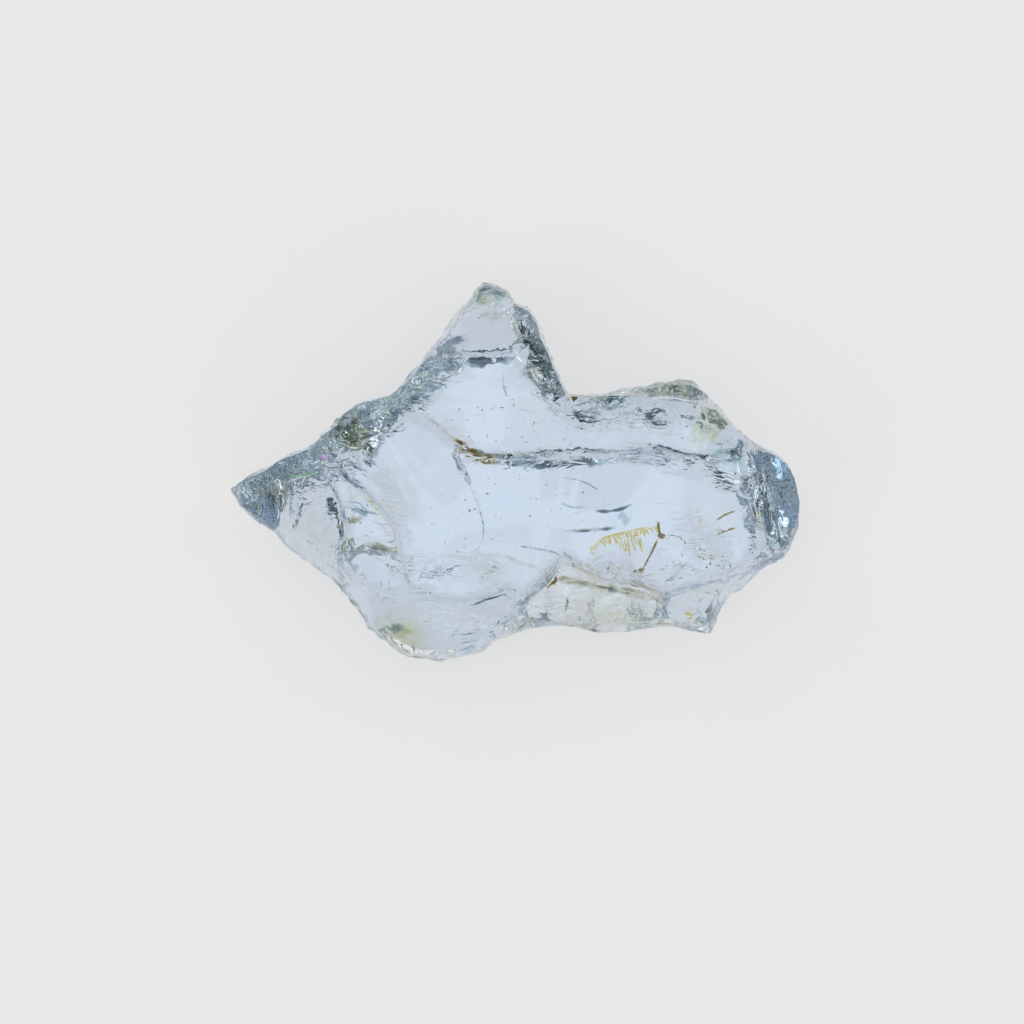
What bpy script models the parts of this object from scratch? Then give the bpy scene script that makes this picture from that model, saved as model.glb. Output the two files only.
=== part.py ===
"""A rough fragment of clear blue beryl (aquamarine), lying on its flat back face.

The stone is one solid. Its outline is the rim, a closed loop at about a third of its
height. Above the rim a broken wall rises to the brow, and inside the brow lie the broad
fracture faces with the steps between them. Below the rim the underside slopes in to the
foot, the outline of the flat face that the stone rests on. Everything here is in
millimetres until the mesh is made; +X runs along the stone, +Z up.
"""

import math
import random

import bmesh
import bpy
from mathutils import Vector, noise
from mathutils.geometry import delaunay_2d_cdt

# Driving dimensions, in millimetres.
LENGTH = 15.0
WIDTH = 10.2
MAIN_FACE_HEIGHT = 4.2
UPPER_FACE_HEIGHT = 4.0
LEDGE_HEIGHT = 2.1

# Broken surfaces: the longest edge left on each kind, and how far it is roughened.
WALL_EDGE = 0.48
FACE_EDGE = 0.95
WALL_ROUGHNESS = 0.075
FACE_ROUGHNESS = 0.012
WALL_GRAIN = 0.55
FACE_GRAIN = 2.2
PATCH_GRAIN = 2.6
SMOOTHEST_PATCH = 0.25
PATCH_LEVEL = 0.6
PATCH_CONTRAST = 1.6
SWELL_SHARE = 1.3
JITTER_SHARE = 0.6
SEED = 11

# What counts as a steep face, a level face and a point on the table, and the least height
# of any other point.
STEEP = math.cos(math.radians(33.0))
LEVEL = 0.999
TOUCHING = 1e-5
LEAST_HEIGHT = 0.05

MERGE_DISTANCE = 1e-6
SPLIT_ROUNDS = 5
METRES = 0.001

# Rim, clockwise from the left tip: x, y, rim height, how far the wall leans in, brow height.
RIM = (
    # left tip
    (-7.50, -0.46, 1.9, 0.05, 2.4),
    (-7.18, -0.20, 1.9, 0.05, 2.7),
    (-6.68, 0.01, 1.8, 0.06, 3.0),
    # upper left flank
    (-6.18, 0.36, 1.6, 0.06, 3.3),
    (-5.41, 0.65, 1.4, 0.05, 3.6),
    (-5.04, 0.97, 1.3, 0.05, 3.8),
    (-4.70, 1.23, 1.3, 0.05, 3.95),
    (-4.54, 1.49, 1.3, 0.05, 4.05),
    (-4.03, 1.87, 1.3, 0.05, 4.1),
    (-3.27, 2.05, 1.2, 0.05, 4.1),
    (-2.74, 2.50, 1.3, 0.05, 4.0),
    (-2.31, 3.08, 1.3, 0.06, 3.9),
    (-2.00, 3.56, 1.3, 0.20, 3.6),
    # peak
    (-1.57, 4.22, 1.3, 0.25, 3.2),
    (-1.20, 4.67, 1.3, 0.20, 2.8),
    (-1.04, 4.96, 1.3, 0.15, 2.5),
    (-0.83, 5.08, 1.3, 0.12, 2.4),
    (-0.54, 5.04, 1.3, 0.12, 2.4),
    (-0.20, 4.84, 1.3, 0.12, 2.7),
    (0.04, 4.54, 1.3, 0.08, 3.05),
    (0.44, 4.30, 1.3, 0.06, 3.25),
    (0.63, 4.03, 1.3, 0.06, 3.45),
    (0.75, 3.51, 1.3, 0.06, 3.65),
    (0.97, 3.03, 1.3, 0.06, 3.8),
    (1.20, 2.50, 1.3, 0.06, 3.9),
    # notch
    (1.42, 2.10, 1.2, 0.12, 3.85),
    (2.00, 2.08, 1.1, 0.12, 3.85),
    # thin flake behind the upper edge
    (2.58, 2.13, 1.4, 0.10, 1.9),
    (3.11, 2.30, 1.2, 0.12, 1.7),
    (3.82, 2.45, 1.1, 0.12, 1.7),
    (4.33, 2.49, 1.1, 0.12, 1.7),
    (4.70, 2.39, 1.1, 0.12, 1.7),
    (5.04, 2.16, 1.2, 0.12, 1.8),
    (5.30, 1.76, 1.6, 0.12, 2.6),
    # right shoulder
    (5.65, 1.39, 1.4, 0.12, 3.85),
    (6.07, 0.99, 1.5, 0.14, 3.9),
    (6.44, 0.69, 1.5, 0.14, 3.9),
    (6.81, 0.57, 1.6, 0.14, 3.9),
    # right end
    (7.16, 0.25, 1.6, 0.07, 4.0),
    (7.37, -0.17, 1.7, 0.07, 4.0),
    (7.50, -0.81, 1.7, 0.07, 4.0),
    (7.49, -1.47, 1.7, 0.08, 3.95),
    (7.34, -2.05, 1.7, 0.20, 3.7),
    (6.89, -2.42, 1.8, 0.22, 3.3),
    (6.28, -2.76, 1.9, 0.20, 3.1),
    # lower right corner
    (5.97, -3.08, 1.9, 0.20, 2.8),
    (5.65, -3.35, 1.7, 0.20, 2.6),
    (5.41, -3.90, 1.4, 0.18, 2.2),
    (5.20, -4.33, 1.2, 0.14, 1.8),
    # edge of the lower ledge
    (4.78, -4.31, 1.1, 0.14, 1.7),
    (4.22, -4.17, 1.0, 0.14, 1.6),
    (3.06, -4.22, 1.0, 0.14, 1.6),
    (2.16, -4.27, 1.0, 0.14, 1.6),
    (1.26, -4.14, 1.0, 0.14, 1.6),
    (0.41, -4.19, 1.0, 0.14, 1.6),
    # lower lobe
    (0.07, -4.38, 1.2, 0.14, 2.1),
    (-0.41, -4.51, 0.9, 0.14, 3.2),
    (-0.97, -4.93, 0.8, 0.14, 3.3),
    (-1.97, -5.09, 0.8, 0.14, 3.3),
    (-2.84, -4.96, 0.8, 0.14, 3.3),
    (-3.40, -4.59, 0.9, 0.14, 3.3),
    (-3.88, -4.17, 1.0, 0.14, 3.2),
    (-4.14, -3.64, 1.2, 0.14, 3.1),
    (-4.43, -3.35, 1.8, 0.14, 2.6),
    # lower left flank
    (-4.83, -2.87, 1.9, 0.14, 2.5),
    (-5.41, -2.47, 1.9, 0.14, 2.5),
    (-5.94, -2.08, 1.9, 0.14, 2.5),
    (-6.36, -1.63, 1.9, 0.14, 2.4),
    (-6.84, -1.32, 1.9, 0.12, 2.4),
    (-7.29, -0.91, 1.9, 0.10, 2.4),
)

# Foot, clockwise from the left: the outline of the flat face at z = 0.
FOOT = (
    (-5.60, -0.83), (-5.60, -0.38), (-5.09, -0.09), (-4.43, 0.22), (-3.93, 0.57),
    (-3.53, 1.10), (-2.98, 1.42), (-2.47, 1.89), (-2.08, 2.13), (-1.81, 2.53),
    (-1.65, 2.98), (-1.36, 3.61), (-1.02, 4.14), (-0.60, 4.30), (-0.30, 4.09),
    (-0.09, 3.56), (0.33, 2.50), (0.70, 1.92), (1.20, 1.65), (2.26, 1.42),
    (3.00, 1.68), (3.72, 1.55), (4.64, 1.47), (5.22, 0.91), (5.89, 0.46),
    (5.92, -0.81), (6.08, -1.39), (6.30, -2.13), (6.02, -2.53), (5.62, -2.79),
    (5.28, -3.35), (4.91, -3.74), (4.54, -3.96), (3.58, -4.06), (2.26, -4.14),
    (0.81, -4.09), (0.25, -4.17), (-0.22, -4.09), (-0.70, -4.46), (-1.44, -4.64),
    (-2.37, -4.59), (-3.08, -4.33), (-3.58, -3.80), (-3.85, -3.24), (-4.48, -2.98),
    (-5.20, -2.45), (-5.73, -1.94), (-6.10, -1.49), (-5.91, -1.12),
)

# Broad faces of the upper side. Each is nearly flat: its height at its middle, its rise
# per millimetre along +X and along +Y, and its outline.
FACES = {
    "upper": (UPPER_FACE_HEIGHT, 0.0, -0.03, (
        (-2.92, 1.63), (-2.47, 2.05), (-2.08, 2.39), (-1.79, 2.95), (-1.39, 3.00),
        (-0.09, 3.08), (0.15, 2.69), (0.49, 2.08), (0.89, 1.68), (1.47, 1.55),
        (2.39, 1.42), (3.32, 1.63), (4.64, 1.52), (5.22, 1.02), (5.78, 0.57),
        (4.91, 0.44), (4.30, 0.46), (3.72, 0.67), (2.92, 0.62), (1.20, 0.52),
        (-0.81, 0.46), (-1.65, 0.97), (-2.31, 1.49),
    )),
    "main": (MAIN_FACE_HEIGHT, -0.005, 0.015, (
        (-2.82, 1.34), (-2.39, 1.26), (-1.76, 0.75), (-0.91, 0.25), (1.20, 0.30),
        (2.92, 0.41), (3.72, 0.46), (4.30, 0.25), (4.91, 0.22), (5.91, 0.36),
        (6.12, -0.81), (6.28, -1.47), (6.42, -2.08), (5.91, -2.42), (5.49, -2.63),
        (4.91, -2.84), (4.38, -3.06), (3.96, -3.13), (3.16, -2.79), (2.26, -2.63),
        (1.73, -2.42), (1.28, -2.10), (0.70, -2.71), (0.36, -3.06), (0.12, -3.21),
        (-0.20, -3.00), (-0.57, -3.11), (-1.26, -3.35), (-1.97, -3.29), (-2.69, -3.00),
        (-2.82, -2.45), (-2.95, -1.73), (-3.13, -1.31), (-3.45, -0.89), (-3.82, -0.49),
        (-4.30, -0.15), (-3.77, 0.30), (-3.29, 0.97),
    )),
    "peak": (3.55, 0.0, -0.22, (
        (-1.55, 3.21), (-1.36, 3.64), (-1.07, 4.06), (-0.75, 4.27), (-0.38, 4.17),
        (-0.20, 3.80), (-0.04, 3.35), (-0.12, 3.21), (-1.39, 3.11),
    )),
    "left": (3.95, 0.07, 0.0, (
        (-4.72, -0.25), (-4.46, -0.22), (-3.90, -0.60), (-3.53, -0.97), (-3.21, -1.36),
        (-3.06, -1.76), (-2.92, -2.47), (-2.82, -3.03), (-3.29, -3.16), (-3.93, -2.95),
        (-4.35, -2.53), (-4.46, -2.16), (-4.33, -1.73), (-4.33, -1.36), (-4.48, -0.89),
    )),
    "tip": (3.5, 0.2, 0.04, (
        (-5.46, -0.30), (-5.09, -0.20), (-4.85, -0.38), (-4.62, -0.89), (-4.46, -1.36),
        (-4.46, -1.76), (-4.62, -2.10), (-5.04, -1.92), (-5.44, -1.55), (-5.36, -1.07),
        (-5.38, -0.67),
    )),
    "lobe": (3.6, 0.04, 0.16, (
        (-3.56, -3.69), (-2.76, -3.43), (-1.97, -3.45), (-1.23, -3.51), (-0.86, -3.37),
        (-0.52, -3.27), (-0.22, -3.16), (-0.01, -3.37), (-0.17, -3.77), (-0.54, -4.14),
        (-1.02, -4.46), (-1.71, -4.62), (-2.37, -4.56), (-2.98, -4.35), (-3.37, -4.06),
    )),
    "ledge": (LEDGE_HEIGHT, 0.02, 0.09, (
        (0.30, -3.64), (0.49, -3.37), (0.91, -2.98), (1.28, -2.47), (1.73, -2.69),
        (2.26, -2.84), (3.11, -3.00), (3.58, -3.16), (3.82, -3.35), (3.77, -3.66),
        (3.61, -3.96), (2.53, -4.03), (1.60, -4.01), (0.67, -3.96), (0.38, -3.85),
    )),
    "corner": (3.2, -0.1, 0.3, (
        (4.09, -3.35), (4.64, -3.13), (5.22, -2.95), (5.49, -3.00), (5.17, -3.40),
        (4.96, -3.77), (4.64, -3.96), (4.06, -3.90), (3.98, -3.61),
    )),
    "flake": (1.8, 0.0, -0.25, (
        (3.16, 2.16), (3.82, 2.29), (4.30, 2.34), (4.62, 2.26), (4.85, 2.08),
        (4.64, 1.97), (3.85, 2.02),
    )),
}

# Brow of the wall that stands behind the thin flake: x, y, height.
FLAKE_WALL = ((2.58, 1.99), (3.32, 1.94), (4.11, 1.87), (4.80, 1.75), (5.22, 1.66))
FLAKE_WALL_HEIGHT = 3.85

# Ridge along the top of the left tip and keel along its underside: x, y, height.
TIP_RIDGE = ((-7.05, -0.55, 2.75), (-6.45, -0.45, 3.05), (-5.95, -0.62, 3.2))
TIP_KEEL = ((-7.15, -0.66, 1.55), (-6.70, -0.86, 0.95), (-6.30, -1.02, 0.45))


def clear_scene():
    for found in list(bpy.data.objects):
        bpy.data.objects.remove(found, do_unlink=True)


def inward(loop, index):
    """The unit direction that halves the corner of a clockwise loop and points inside."""
    before = Vector(loop[index - 1][:2])
    here = Vector(loop[index][:2])
    after = Vector(loop[(index + 1) % len(loop)][:2])
    along = (here - before).normalized() + (after - here).normalized()
    return Vector((along.y, -along.x)).normalized()


def brow_points():
    """The top edge of the wall above each rim point."""
    points = []
    for index, (x, y, _, lean, height) in enumerate(RIM):
        side = inward(RIM, index) * lean
        points.append((x + side.x, y + side.y, height))
    return points


def face_points(height, rise_x, rise_y, outline):
    """The corners of a broad face, lifted onto its own tilted plane."""
    middle_x = sum(x for x, _ in outline) / len(outline)
    middle_y = sum(y for _, y in outline) / len(outline)
    return [
        (x, y, height + rise_x * (x - middle_x) + rise_y * (y - middle_y))
        for x, y in outline
    ]


def triangulate(rim, loops, chains):
    """Triangles inside the rim that follow every loop and chain of (x, y, z) points."""
    points = list(rim)
    edges = []
    for chain, is_loop in [(loop, True) for loop in loops] + [(c, False) for c in chains]:
        first = len(points)
        points.extend(chain)
        edges.extend((first + i, first + i + 1) for i in range(len(chain) - 1))
        if is_loop:
            edges.append((len(points) - 1, first))
    flat = [Vector(point[:2]) for point in points]
    made = delaunay_2d_cdt(flat, edges, [list(range(len(rim)))], 1, MERGE_DISTANCE)
    corners, faces, source = made[0], made[2], made[3]
    if any(not found for found in source):
        raise ValueError("two outlines cross")
    heights = [points[found[0]][2] for found in source]
    whole = [(c.x, c.y, z) for c, z in zip(corners, heights)]
    return whole, faces, [found[0] for found in source]


def add_side(mesh, rim_vertices, rim, loops, chains, upward):
    """Adds the upper or lower side to the mesh, sewn to the rim's own vertices."""
    points, faces, source = triangulate(rim, loops, chains)
    vertices = []
    for point, found in zip(points, source):
        on_rim = found < len(rim)
        vertices.append(rim_vertices[found] if on_rim else mesh.verts.new(point))
    for face in faces:
        corners = [vertices[i] for i in face]
        made = mesh.faces.new(corners)
        made.normal_update()
        if (made.normal.z > 0) != upward:
            made.normal_flip()


def is_resting(vertex):
    return vertex.co.z < TOUCHING


def longest_allowed(edge):
    """The edge limit beside an edge: short on steep broken walls, long on broad faces."""
    if all(is_resting(vertex) for vertex in edge.verts):
        return FACE_EDGE if any(abs(f.normal.z) < LEVEL for f in edge.link_faces) else LENGTH
    steep = any(abs(face.normal.z) < STEEP for face in edge.link_faces)
    return WALL_EDGE if steep else FACE_EDGE


def split_long_edges(mesh):
    for _ in range(SPLIT_ROUNDS):
        mesh.normal_update()
        too_long = [e for e in mesh.edges if e.calc_length() > longest_allowed(e)]
        if not too_long:
            return
        bmesh.ops.subdivide_edges(mesh, edges=too_long, cuts=1)
        many_sided = [face for face in mesh.faces if len(face.verts) > 3]
        bmesh.ops.triangulate(mesh, faces=many_sided, quad_method="SHORT_EDGE")


def hackliness(point):
    """How rough the wall is here: glassy patches lie between hackly ones."""
    return SMOOTHEST_PATCH + max(0.0, PATCH_LEVEL + PATCH_CONTRAST * noise.noise(point / PATCH_GRAIN))


def roughen(mesh):
    """Pushes each free vertex along its normal: hackly on the walls, faint on the faces."""
    draw = random.Random(SEED)
    mesh.normal_update()
    moves = []
    for vertex in mesh.verts:
        flattest = max(abs(face.normal.z) for face in vertex.link_faces)
        on_wall = flattest < STEEP
        rough = WALL_ROUGHNESS * hackliness(vertex.co) if on_wall else FACE_ROUGHNESS
        swell = noise.noise(vertex.co / (WALL_GRAIN if on_wall else FACE_GRAIN))
        jitter = draw.uniform(-JITTER_SHARE, JITTER_SHARE)
        moves.append(vertex.normal * rough * (SWELL_SHARE * swell + jitter))
    for vertex, move in zip(mesh.verts, moves):
        if not is_resting(vertex):
            vertex.co += move
            vertex.co.z = max(vertex.co.z, LEAST_HEIGHT)


def fit_plan(mesh):
    """Centres the plan on the origin and brings it to the stone's length and width."""
    for axis, size in enumerate((LENGTH, WIDTH)):
        values = [vertex.co[axis] for vertex in mesh.verts]
        middle = (min(values) + max(values)) / 2.0
        scale = size / (max(values) - min(values))
        for vertex in mesh.verts:
            vertex.co[axis] = (vertex.co[axis] - middle) * scale


def stone_mesh():
    mesh = bmesh.new()
    rim = [(x, y, z) for x, y, z, _, _ in RIM]
    rim_vertices = [mesh.verts.new(point) for point in rim]
    loops = [face_points(*face) for face in FACES.values()]
    flake_wall = [(x, y, FLAKE_WALL_HEIGHT) for x, y in FLAKE_WALL]
    foot = [(x, y, 0.0) for x, y in FOOT]
    add_side(mesh, rim_vertices, rim, [brow_points()] + loops, [flake_wall, TIP_RIDGE], True)
    add_side(mesh, rim_vertices, rim, [foot], [TIP_KEEL], False)
    split_long_edges(mesh)
    roughen(mesh)
    fit_plan(mesh)
    bmesh.ops.scale(mesh, vec=(METRES, METRES, METRES), verts=mesh.verts)
    return mesh


def beryl_material():
    material = bpy.data.materials.new("beryl")
    material.use_nodes = True
    shader = material.node_tree.nodes["Principled BSDF"]
    shader.inputs["Base Color"].default_value = (0.80, 0.91, 0.97, 1.0)
    shader.inputs["Roughness"].default_value = 0.02
    shader.inputs["Metallic"].default_value = 0.0
    shader.inputs["IOR"].default_value = 1.577
    shader.inputs["Transmission Weight"].default_value = 1.0
    return material


def main():
    clear_scene()
    mesh = stone_mesh()
    data = bpy.data.meshes.new("aquamarine_crystal")
    mesh.to_mesh(data)
    mesh.free()
    data.materials.append(beryl_material())
    crystal = bpy.data.objects.new("aquamarine_crystal", data)
    bpy.context.scene.collection.objects.link(crystal)


main()
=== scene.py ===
import math
import random

import bmesh
import bpy
import numpy as np
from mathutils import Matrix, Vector, noise
from mathutils.bvhtree import BVHTree


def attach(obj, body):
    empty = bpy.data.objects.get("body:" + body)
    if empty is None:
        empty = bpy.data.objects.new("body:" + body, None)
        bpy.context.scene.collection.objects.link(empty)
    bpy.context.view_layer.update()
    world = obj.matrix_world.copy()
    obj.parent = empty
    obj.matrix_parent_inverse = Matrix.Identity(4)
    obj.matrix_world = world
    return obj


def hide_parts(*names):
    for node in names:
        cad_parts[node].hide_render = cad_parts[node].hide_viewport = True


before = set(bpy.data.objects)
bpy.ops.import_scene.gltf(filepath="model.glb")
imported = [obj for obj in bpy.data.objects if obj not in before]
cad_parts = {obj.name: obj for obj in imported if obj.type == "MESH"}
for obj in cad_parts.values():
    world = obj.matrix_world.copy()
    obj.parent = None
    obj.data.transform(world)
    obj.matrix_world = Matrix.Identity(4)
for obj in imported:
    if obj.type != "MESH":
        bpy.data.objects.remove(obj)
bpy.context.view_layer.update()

mm = 0.001  # metres in a millimetre; shapes below are worked out in millimetres
berylIor = 1.577
white = (1.0, 1.0, 1.0, 1.0)


def newGroup(name, inputs, outputs):
    tree = bpy.data.node_groups.new(name, "ShaderNodeTree")
    for label, kind, value in inputs:
        socket = tree.interface.new_socket(name=label, in_out="INPUT", socket_type=kind)
        socket.default_value = value
    for label, kind in outputs:
        tree.interface.new_socket(name=label, in_out="OUTPUT", socket_type=kind)
    return tree, tree.nodes.new("NodeGroupInput"), tree.nodes.new("NodeGroupOutput")


# Links a node's output to the socket, or sets the socket to a plain value
def plug(tree, socket, source):
    if hasattr(source, "is_output"):
        tree.links.new(source, socket)
    else:
        socket.default_value = source


def addNode(tree, kind, sockets=(), **values):
    node = tree.nodes.new(kind)
    for key, value in values.items():
        setattr(node, key, value)
    for index, source in sockets:
        plug(tree, node.inputs[index], source)
    return node


def combine(tree, operation, *inputs, clamp=False):
    node = addNode(tree, "ShaderNodeMath", enumerate(inputs), operation=operation, use_clamp=clamp)
    return node.outputs[0]


def remap(tree, value, low, high, toLow=0.0, toHigh=1.0):
    sockets = ((0, value), (1, low), (2, high), (3, toLow), (4, toHigh))
    return addNode(tree, "ShaderNodeMapRange", sockets).outputs[0]


def mixColours(tree, share, first, second):
    node = tree.nodes.new("ShaderNodeMix")
    node.data_type = "RGBA"
    for index, source in ((0, share), (6, first), (7, second)):
        plug(tree, node.inputs[index], source)
    return node.outputs[2]


def noiseAt(tree, place, scale, detail=4.0, roughness=0.6):
    names = (("Vector", place), ("Scale", scale), ("Detail", detail), ("Roughness", roughness))
    return addNode(tree, "ShaderNodeTexNoise", names).outputs[0]


def objectPlace(tree):
    return tree.nodes.new("ShaderNodeTexCoord").outputs["Object"]


# The place stretched along its axes and turned about the upright one
def turnedPlace(tree, place, stretch, turn):
    mapping = addNode(tree, "ShaderNodeMapping", ((0, place),))
    mapping.inputs["Scale"].default_value = stretch
    mapping.inputs["Rotation"].default_value = (0.0, 0.0, turn)
    return mapping.outputs[0]


hackleLook = {
    "stretch": (1.0, 0.45, 0.4),
    "turn": 0.5,
    "detail": 6.0,
    "roughness": 0.62,
    "pitScale": 2.6,  # pits are this much finer than the lines
    "pitCore": 0.05,
    "pitRim": 0.3,
}


# Fine broken-glass relief: feathery lines with a scatter of pits
def hackleGroup():
    inputs = (("Scale", "NodeSocketFloat", 900.0), ("Pits", "NodeSocketFloat", 0.3))
    tree, given, made = newGroup("fineHackle", inputs, (("Height", "NodeSocketFloat"),))
    place, scale = objectPlace(tree), given.outputs["Scale"]
    stretched = turnedPlace(tree, place, hackleLook["stretch"], hackleLook["turn"])
    lines = noiseAt(tree, stretched, scale, hackleLook["detail"], hackleLook["roughness"])
    dots = addNode(tree, "ShaderNodeTexVoronoi", (("Vector", place),))
    plug(tree, dots.inputs["Scale"], combine(tree, "MULTIPLY", scale, hackleLook["pitScale"]))
    pit = remap(tree, dots.outputs["Distance"], hackleLook["pitCore"], hackleLook["pitRim"])
    pitted = combine(tree, "MULTIPLY", pit, given.outputs["Pits"])
    tree.links.new(combine(tree, "ADD", lines, pitted), made.inputs[0])
    return tree


ironLook = {
    "detail": 5.0,
    "roughness": 0.65,
    "bareShare": 0.75,  # how much of the noise stays bare where there is no cover
    "crispness": 6.0,
    "fleckScale": 0.6,  # flecks of darker stain are this much coarser
    "fleckLift": 0.5,
    "yellow": (0.93, 0.72, 0.20, 1.0),
    "brown": (0.30, 0.15, 0.04, 1.0),
}


# Patchy iron stain: how much of it there is, and its colour from yellow to brown
def ironGroup():
    inputs = (
        ("Scale", "NodeSocketFloat", 1500.0),
        ("Cover", "NodeSocketFloat", 0.5),
        ("Brown", "NodeSocketFloat", 0.5),
    )
    outputs = (("Share", "NodeSocketFloat"), ("Color", "NodeSocketColor"))
    tree, given, made = newGroup("ironStain", inputs, outputs)
    place, scale = objectPlace(tree), given.outputs["Scale"]
    patches = noiseAt(tree, place, scale, ironLook["detail"], ironLook["roughness"])
    bare = combine(tree, "SUBTRACT", 1.0, given.outputs["Cover"])
    least = combine(tree, "MULTIPLY", bare, ironLook["bareShare"])
    above = combine(tree, "SUBTRACT", patches, least)
    share = combine(tree, "MULTIPLY", above, ironLook["crispness"], clamp=True)
    fleckScale = combine(tree, "MULTIPLY", scale, ironLook["fleckScale"])
    fleck = combine(tree, "ADD", noiseAt(tree, place, fleckScale), ironLook["fleckLift"])
    depth = combine(tree, "MULTIPLY", fleck, given.outputs["Brown"])
    colour = mixColours(tree, depth, ironLook["yellow"], ironLook["brown"])
    tree.links.new(share, made.inputs[0])
    tree.links.new(colour, made.inputs[1])
    return tree


stepLook = {
    "stretch": (0.55, 1.3, 0.9),
    "turn": 0.35,
    "detail": 2.0,
    "bend": 0.6,
    "riseShare": 0.72,  # the rest of each terrace is its drop
}


# Terraces of a broken face: gentle rises that end in sharp little drops
def stepGroup():
    inputs = (("Scale", "NodeSocketFloat", 1200.0), ("Levels", "NodeSocketFloat", 4.0))
    tree, given, made = newGroup("fractureSteps", inputs, (("Height", "NodeSocketFloat"),))
    scale, riseShare = given.outputs["Scale"], stepLook["riseShare"]
    turned = turnedPlace(tree, objectPlace(tree), stepLook["stretch"], stepLook["turn"])
    names = (("Vector", turned), ("Scale", scale), ("Detail", stepLook["detail"]))
    field = addNode(tree, "ShaderNodeTexNoise", names)
    field.inputs["Distortion"].default_value = stepLook["bend"]
    level = combine(tree, "MULTIPLY", field.outputs[0], given.outputs["Levels"])
    part = combine(tree, "FRACT", level)
    rise = combine(tree, "DIVIDE", part, riseShare)
    rest = combine(tree, "SUBTRACT", 1.0, part)
    drop = combine(tree, "DIVIDE", rest, 1.0 - riseShare)
    tree.links.new(combine(tree, "MINIMUM", rise, drop), made.inputs[0])
    return tree


fineHackle = hackleGroup()
ironStain = ironGroup()
fractureSteps = stepGroup()


def newMaterial(name):
    material = bpy.data.materials.new(name)
    material.use_nodes = True
    tree = material.node_tree
    return material, tree, tree.nodes["Principled BSDF"], tree.nodes["Material Output"]


def placeGroup(tree, group, **values):
    node = tree.nodes.new("ShaderNodeGroup")
    node.node_tree = group
    for key, value in values.items():
        node.inputs[key].default_value = value
    return node


# Adds relief of that depth in millimetres on top of what the shader already has
def addBump(tree, shader, height, strength, depth):
    bump = tree.nodes.new("ShaderNodeBump")
    plug(tree, bump.inputs["Strength"], strength)
    bump.inputs["Distance"].default_value = depth * mm
    tree.links.new(height, bump.inputs["Height"])
    for link in shader.inputs["Normal"].links:
        tree.links.new(link.from_socket, bump.inputs["Normal"])
    tree.links.new(bump.outputs[0], shader.inputs["Normal"])


def finishPiece(name, mesh, material, sharpFrom=None, smooth=True):
    bmesh.ops.scale(mesh, vec=(mm,) * 3, verts=mesh.verts)
    data = bpy.data.meshes.new(name)
    mesh.to_mesh(data)
    mesh.free()
    data.materials.append(material)
    if smooth:
        data.shade_smooth()
    if sharpFrom:
        data.set_sharp_from_angle(angle=math.radians(sharpFrom))
    piece = bpy.data.objects.new(name, data)
    bpy.context.scene.collection.objects.link(piece)
    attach(piece, "root")
    print(name, len(data.polygons), "faces")
    return piece


stone = {
    "wallEdge": 0.092,  # longest edge on the broken walls
    "faceEdge": 0.170,  # longest edge on the broad faces
    "borderEdge": 0.075,  # on the rough borders of the faces
    "footEdge": 0.300,  # round the resting face
    "creaseFrom": 34.0,  # degrees: sharper folds than this stay crisp
    "wallSlope": 33.0,  # degrees: steeper than this counts as wall
    "wallRelief": 0.045,
    "wallGrain": 0.34,
    "mostGrowth": 0.012,  # relief takes stone away rather than adding spurs
    "faceRelief": 0.011,
    "faceGrain": 1.3,
    "borderRelief": 0.030,
    "borderGrain": 0.15,
    "edgeChip": 0.05,
    "chipLift": 0.15,  # more of this chips more of each edge
    "chipGrain": 0.22,
    "crispFrom": 42.0,  # degrees: folds sharper than this are shaded crisp
    "chipFlat": 0.9,  # an edge chips where a face this flat meets a wall this upright
    "chipUpright": 0.5,
    "upperFrom": 1.2,  # the upper side lies above this height
    "borderFrom": 0.05,  # share of a border from which it is split finely
    "borderGain": 1.6,
    "onTable": 1e-4,  # what lies below this height rests on the table
    "wearRounds": 40,
    "wearPull": 0.5,
    "splitRounds": 6,
}

# How strongly a surface shows something: middle, swing, grain, least and most.
patches = {
    "faceSteps": (0.75, 0.9, 0.4, -1.0, 2.0),
    "wallSteps": (0.70, 1.6, 0.9, 0.25, 1.0),
    "wallRelief": (0.65, 1.5, 1.9, 0.35, 1.0),
}

wallNoise = {
    "squash": 0.45,  # upright, so the hackles run down the walls
    "fractal": (0.9, 2.1, 4, 1.0, 1.6),
    "level": 1.1,
    "broad": 0.55,
    "fine": 0.25,
    "fineGrain": 0.12,
}

faceNoise = {
    "second": 0.35,
    "secondGrain": 0.45,
    "border": (0.8, 2.0, 3),
    "ribWobble": 0.35,
    "ribWobbleScale": 0.9,
    "ribTrough": -0.2,
}

berylLook = {
    "base": (0.985, 0.99, 0.99, 1.0),
    "tint": (0.46, 0.70, 0.96, 1.0),
    "tintDensity": 100.0,
    "roughness": 0.015,
    "dullRoughness": 0.10,
    "dullGrain": 1100.0,
    "dullRange": (0.56, 0.72),  # noise from here to there turns the polish dull
    "iron": {"Scale": 2600.0, "Cover": 0.62},
    "stainCore": 0.3,  # share of a stain's reach in which it is full
    "hackle": {"Scale": 5200.0, "Pits": 0.3},
    "hackleRelief": (0.4, 0.005),  # strength and depth
    "terraces": ((900.0, 5.0, 0.04), (2300.0, 4.0, 0.02)),  # scale, levels and depth
    "wallTerraces": 0.8,
    "terraceGain": 1.8,
}

# Shell-like ribs: centre, first and last radius, spacing and height.
ribs = (
    ((-6.75, -1.10), 0.9, 2.9, 0.31, 0.020),
    ((-0.60, 6.20), 1.6, 3.4, 0.30, 0.003),
    ((6.90, 2.20), 2.2, 3.6, 0.16, 0.010),
)

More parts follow.
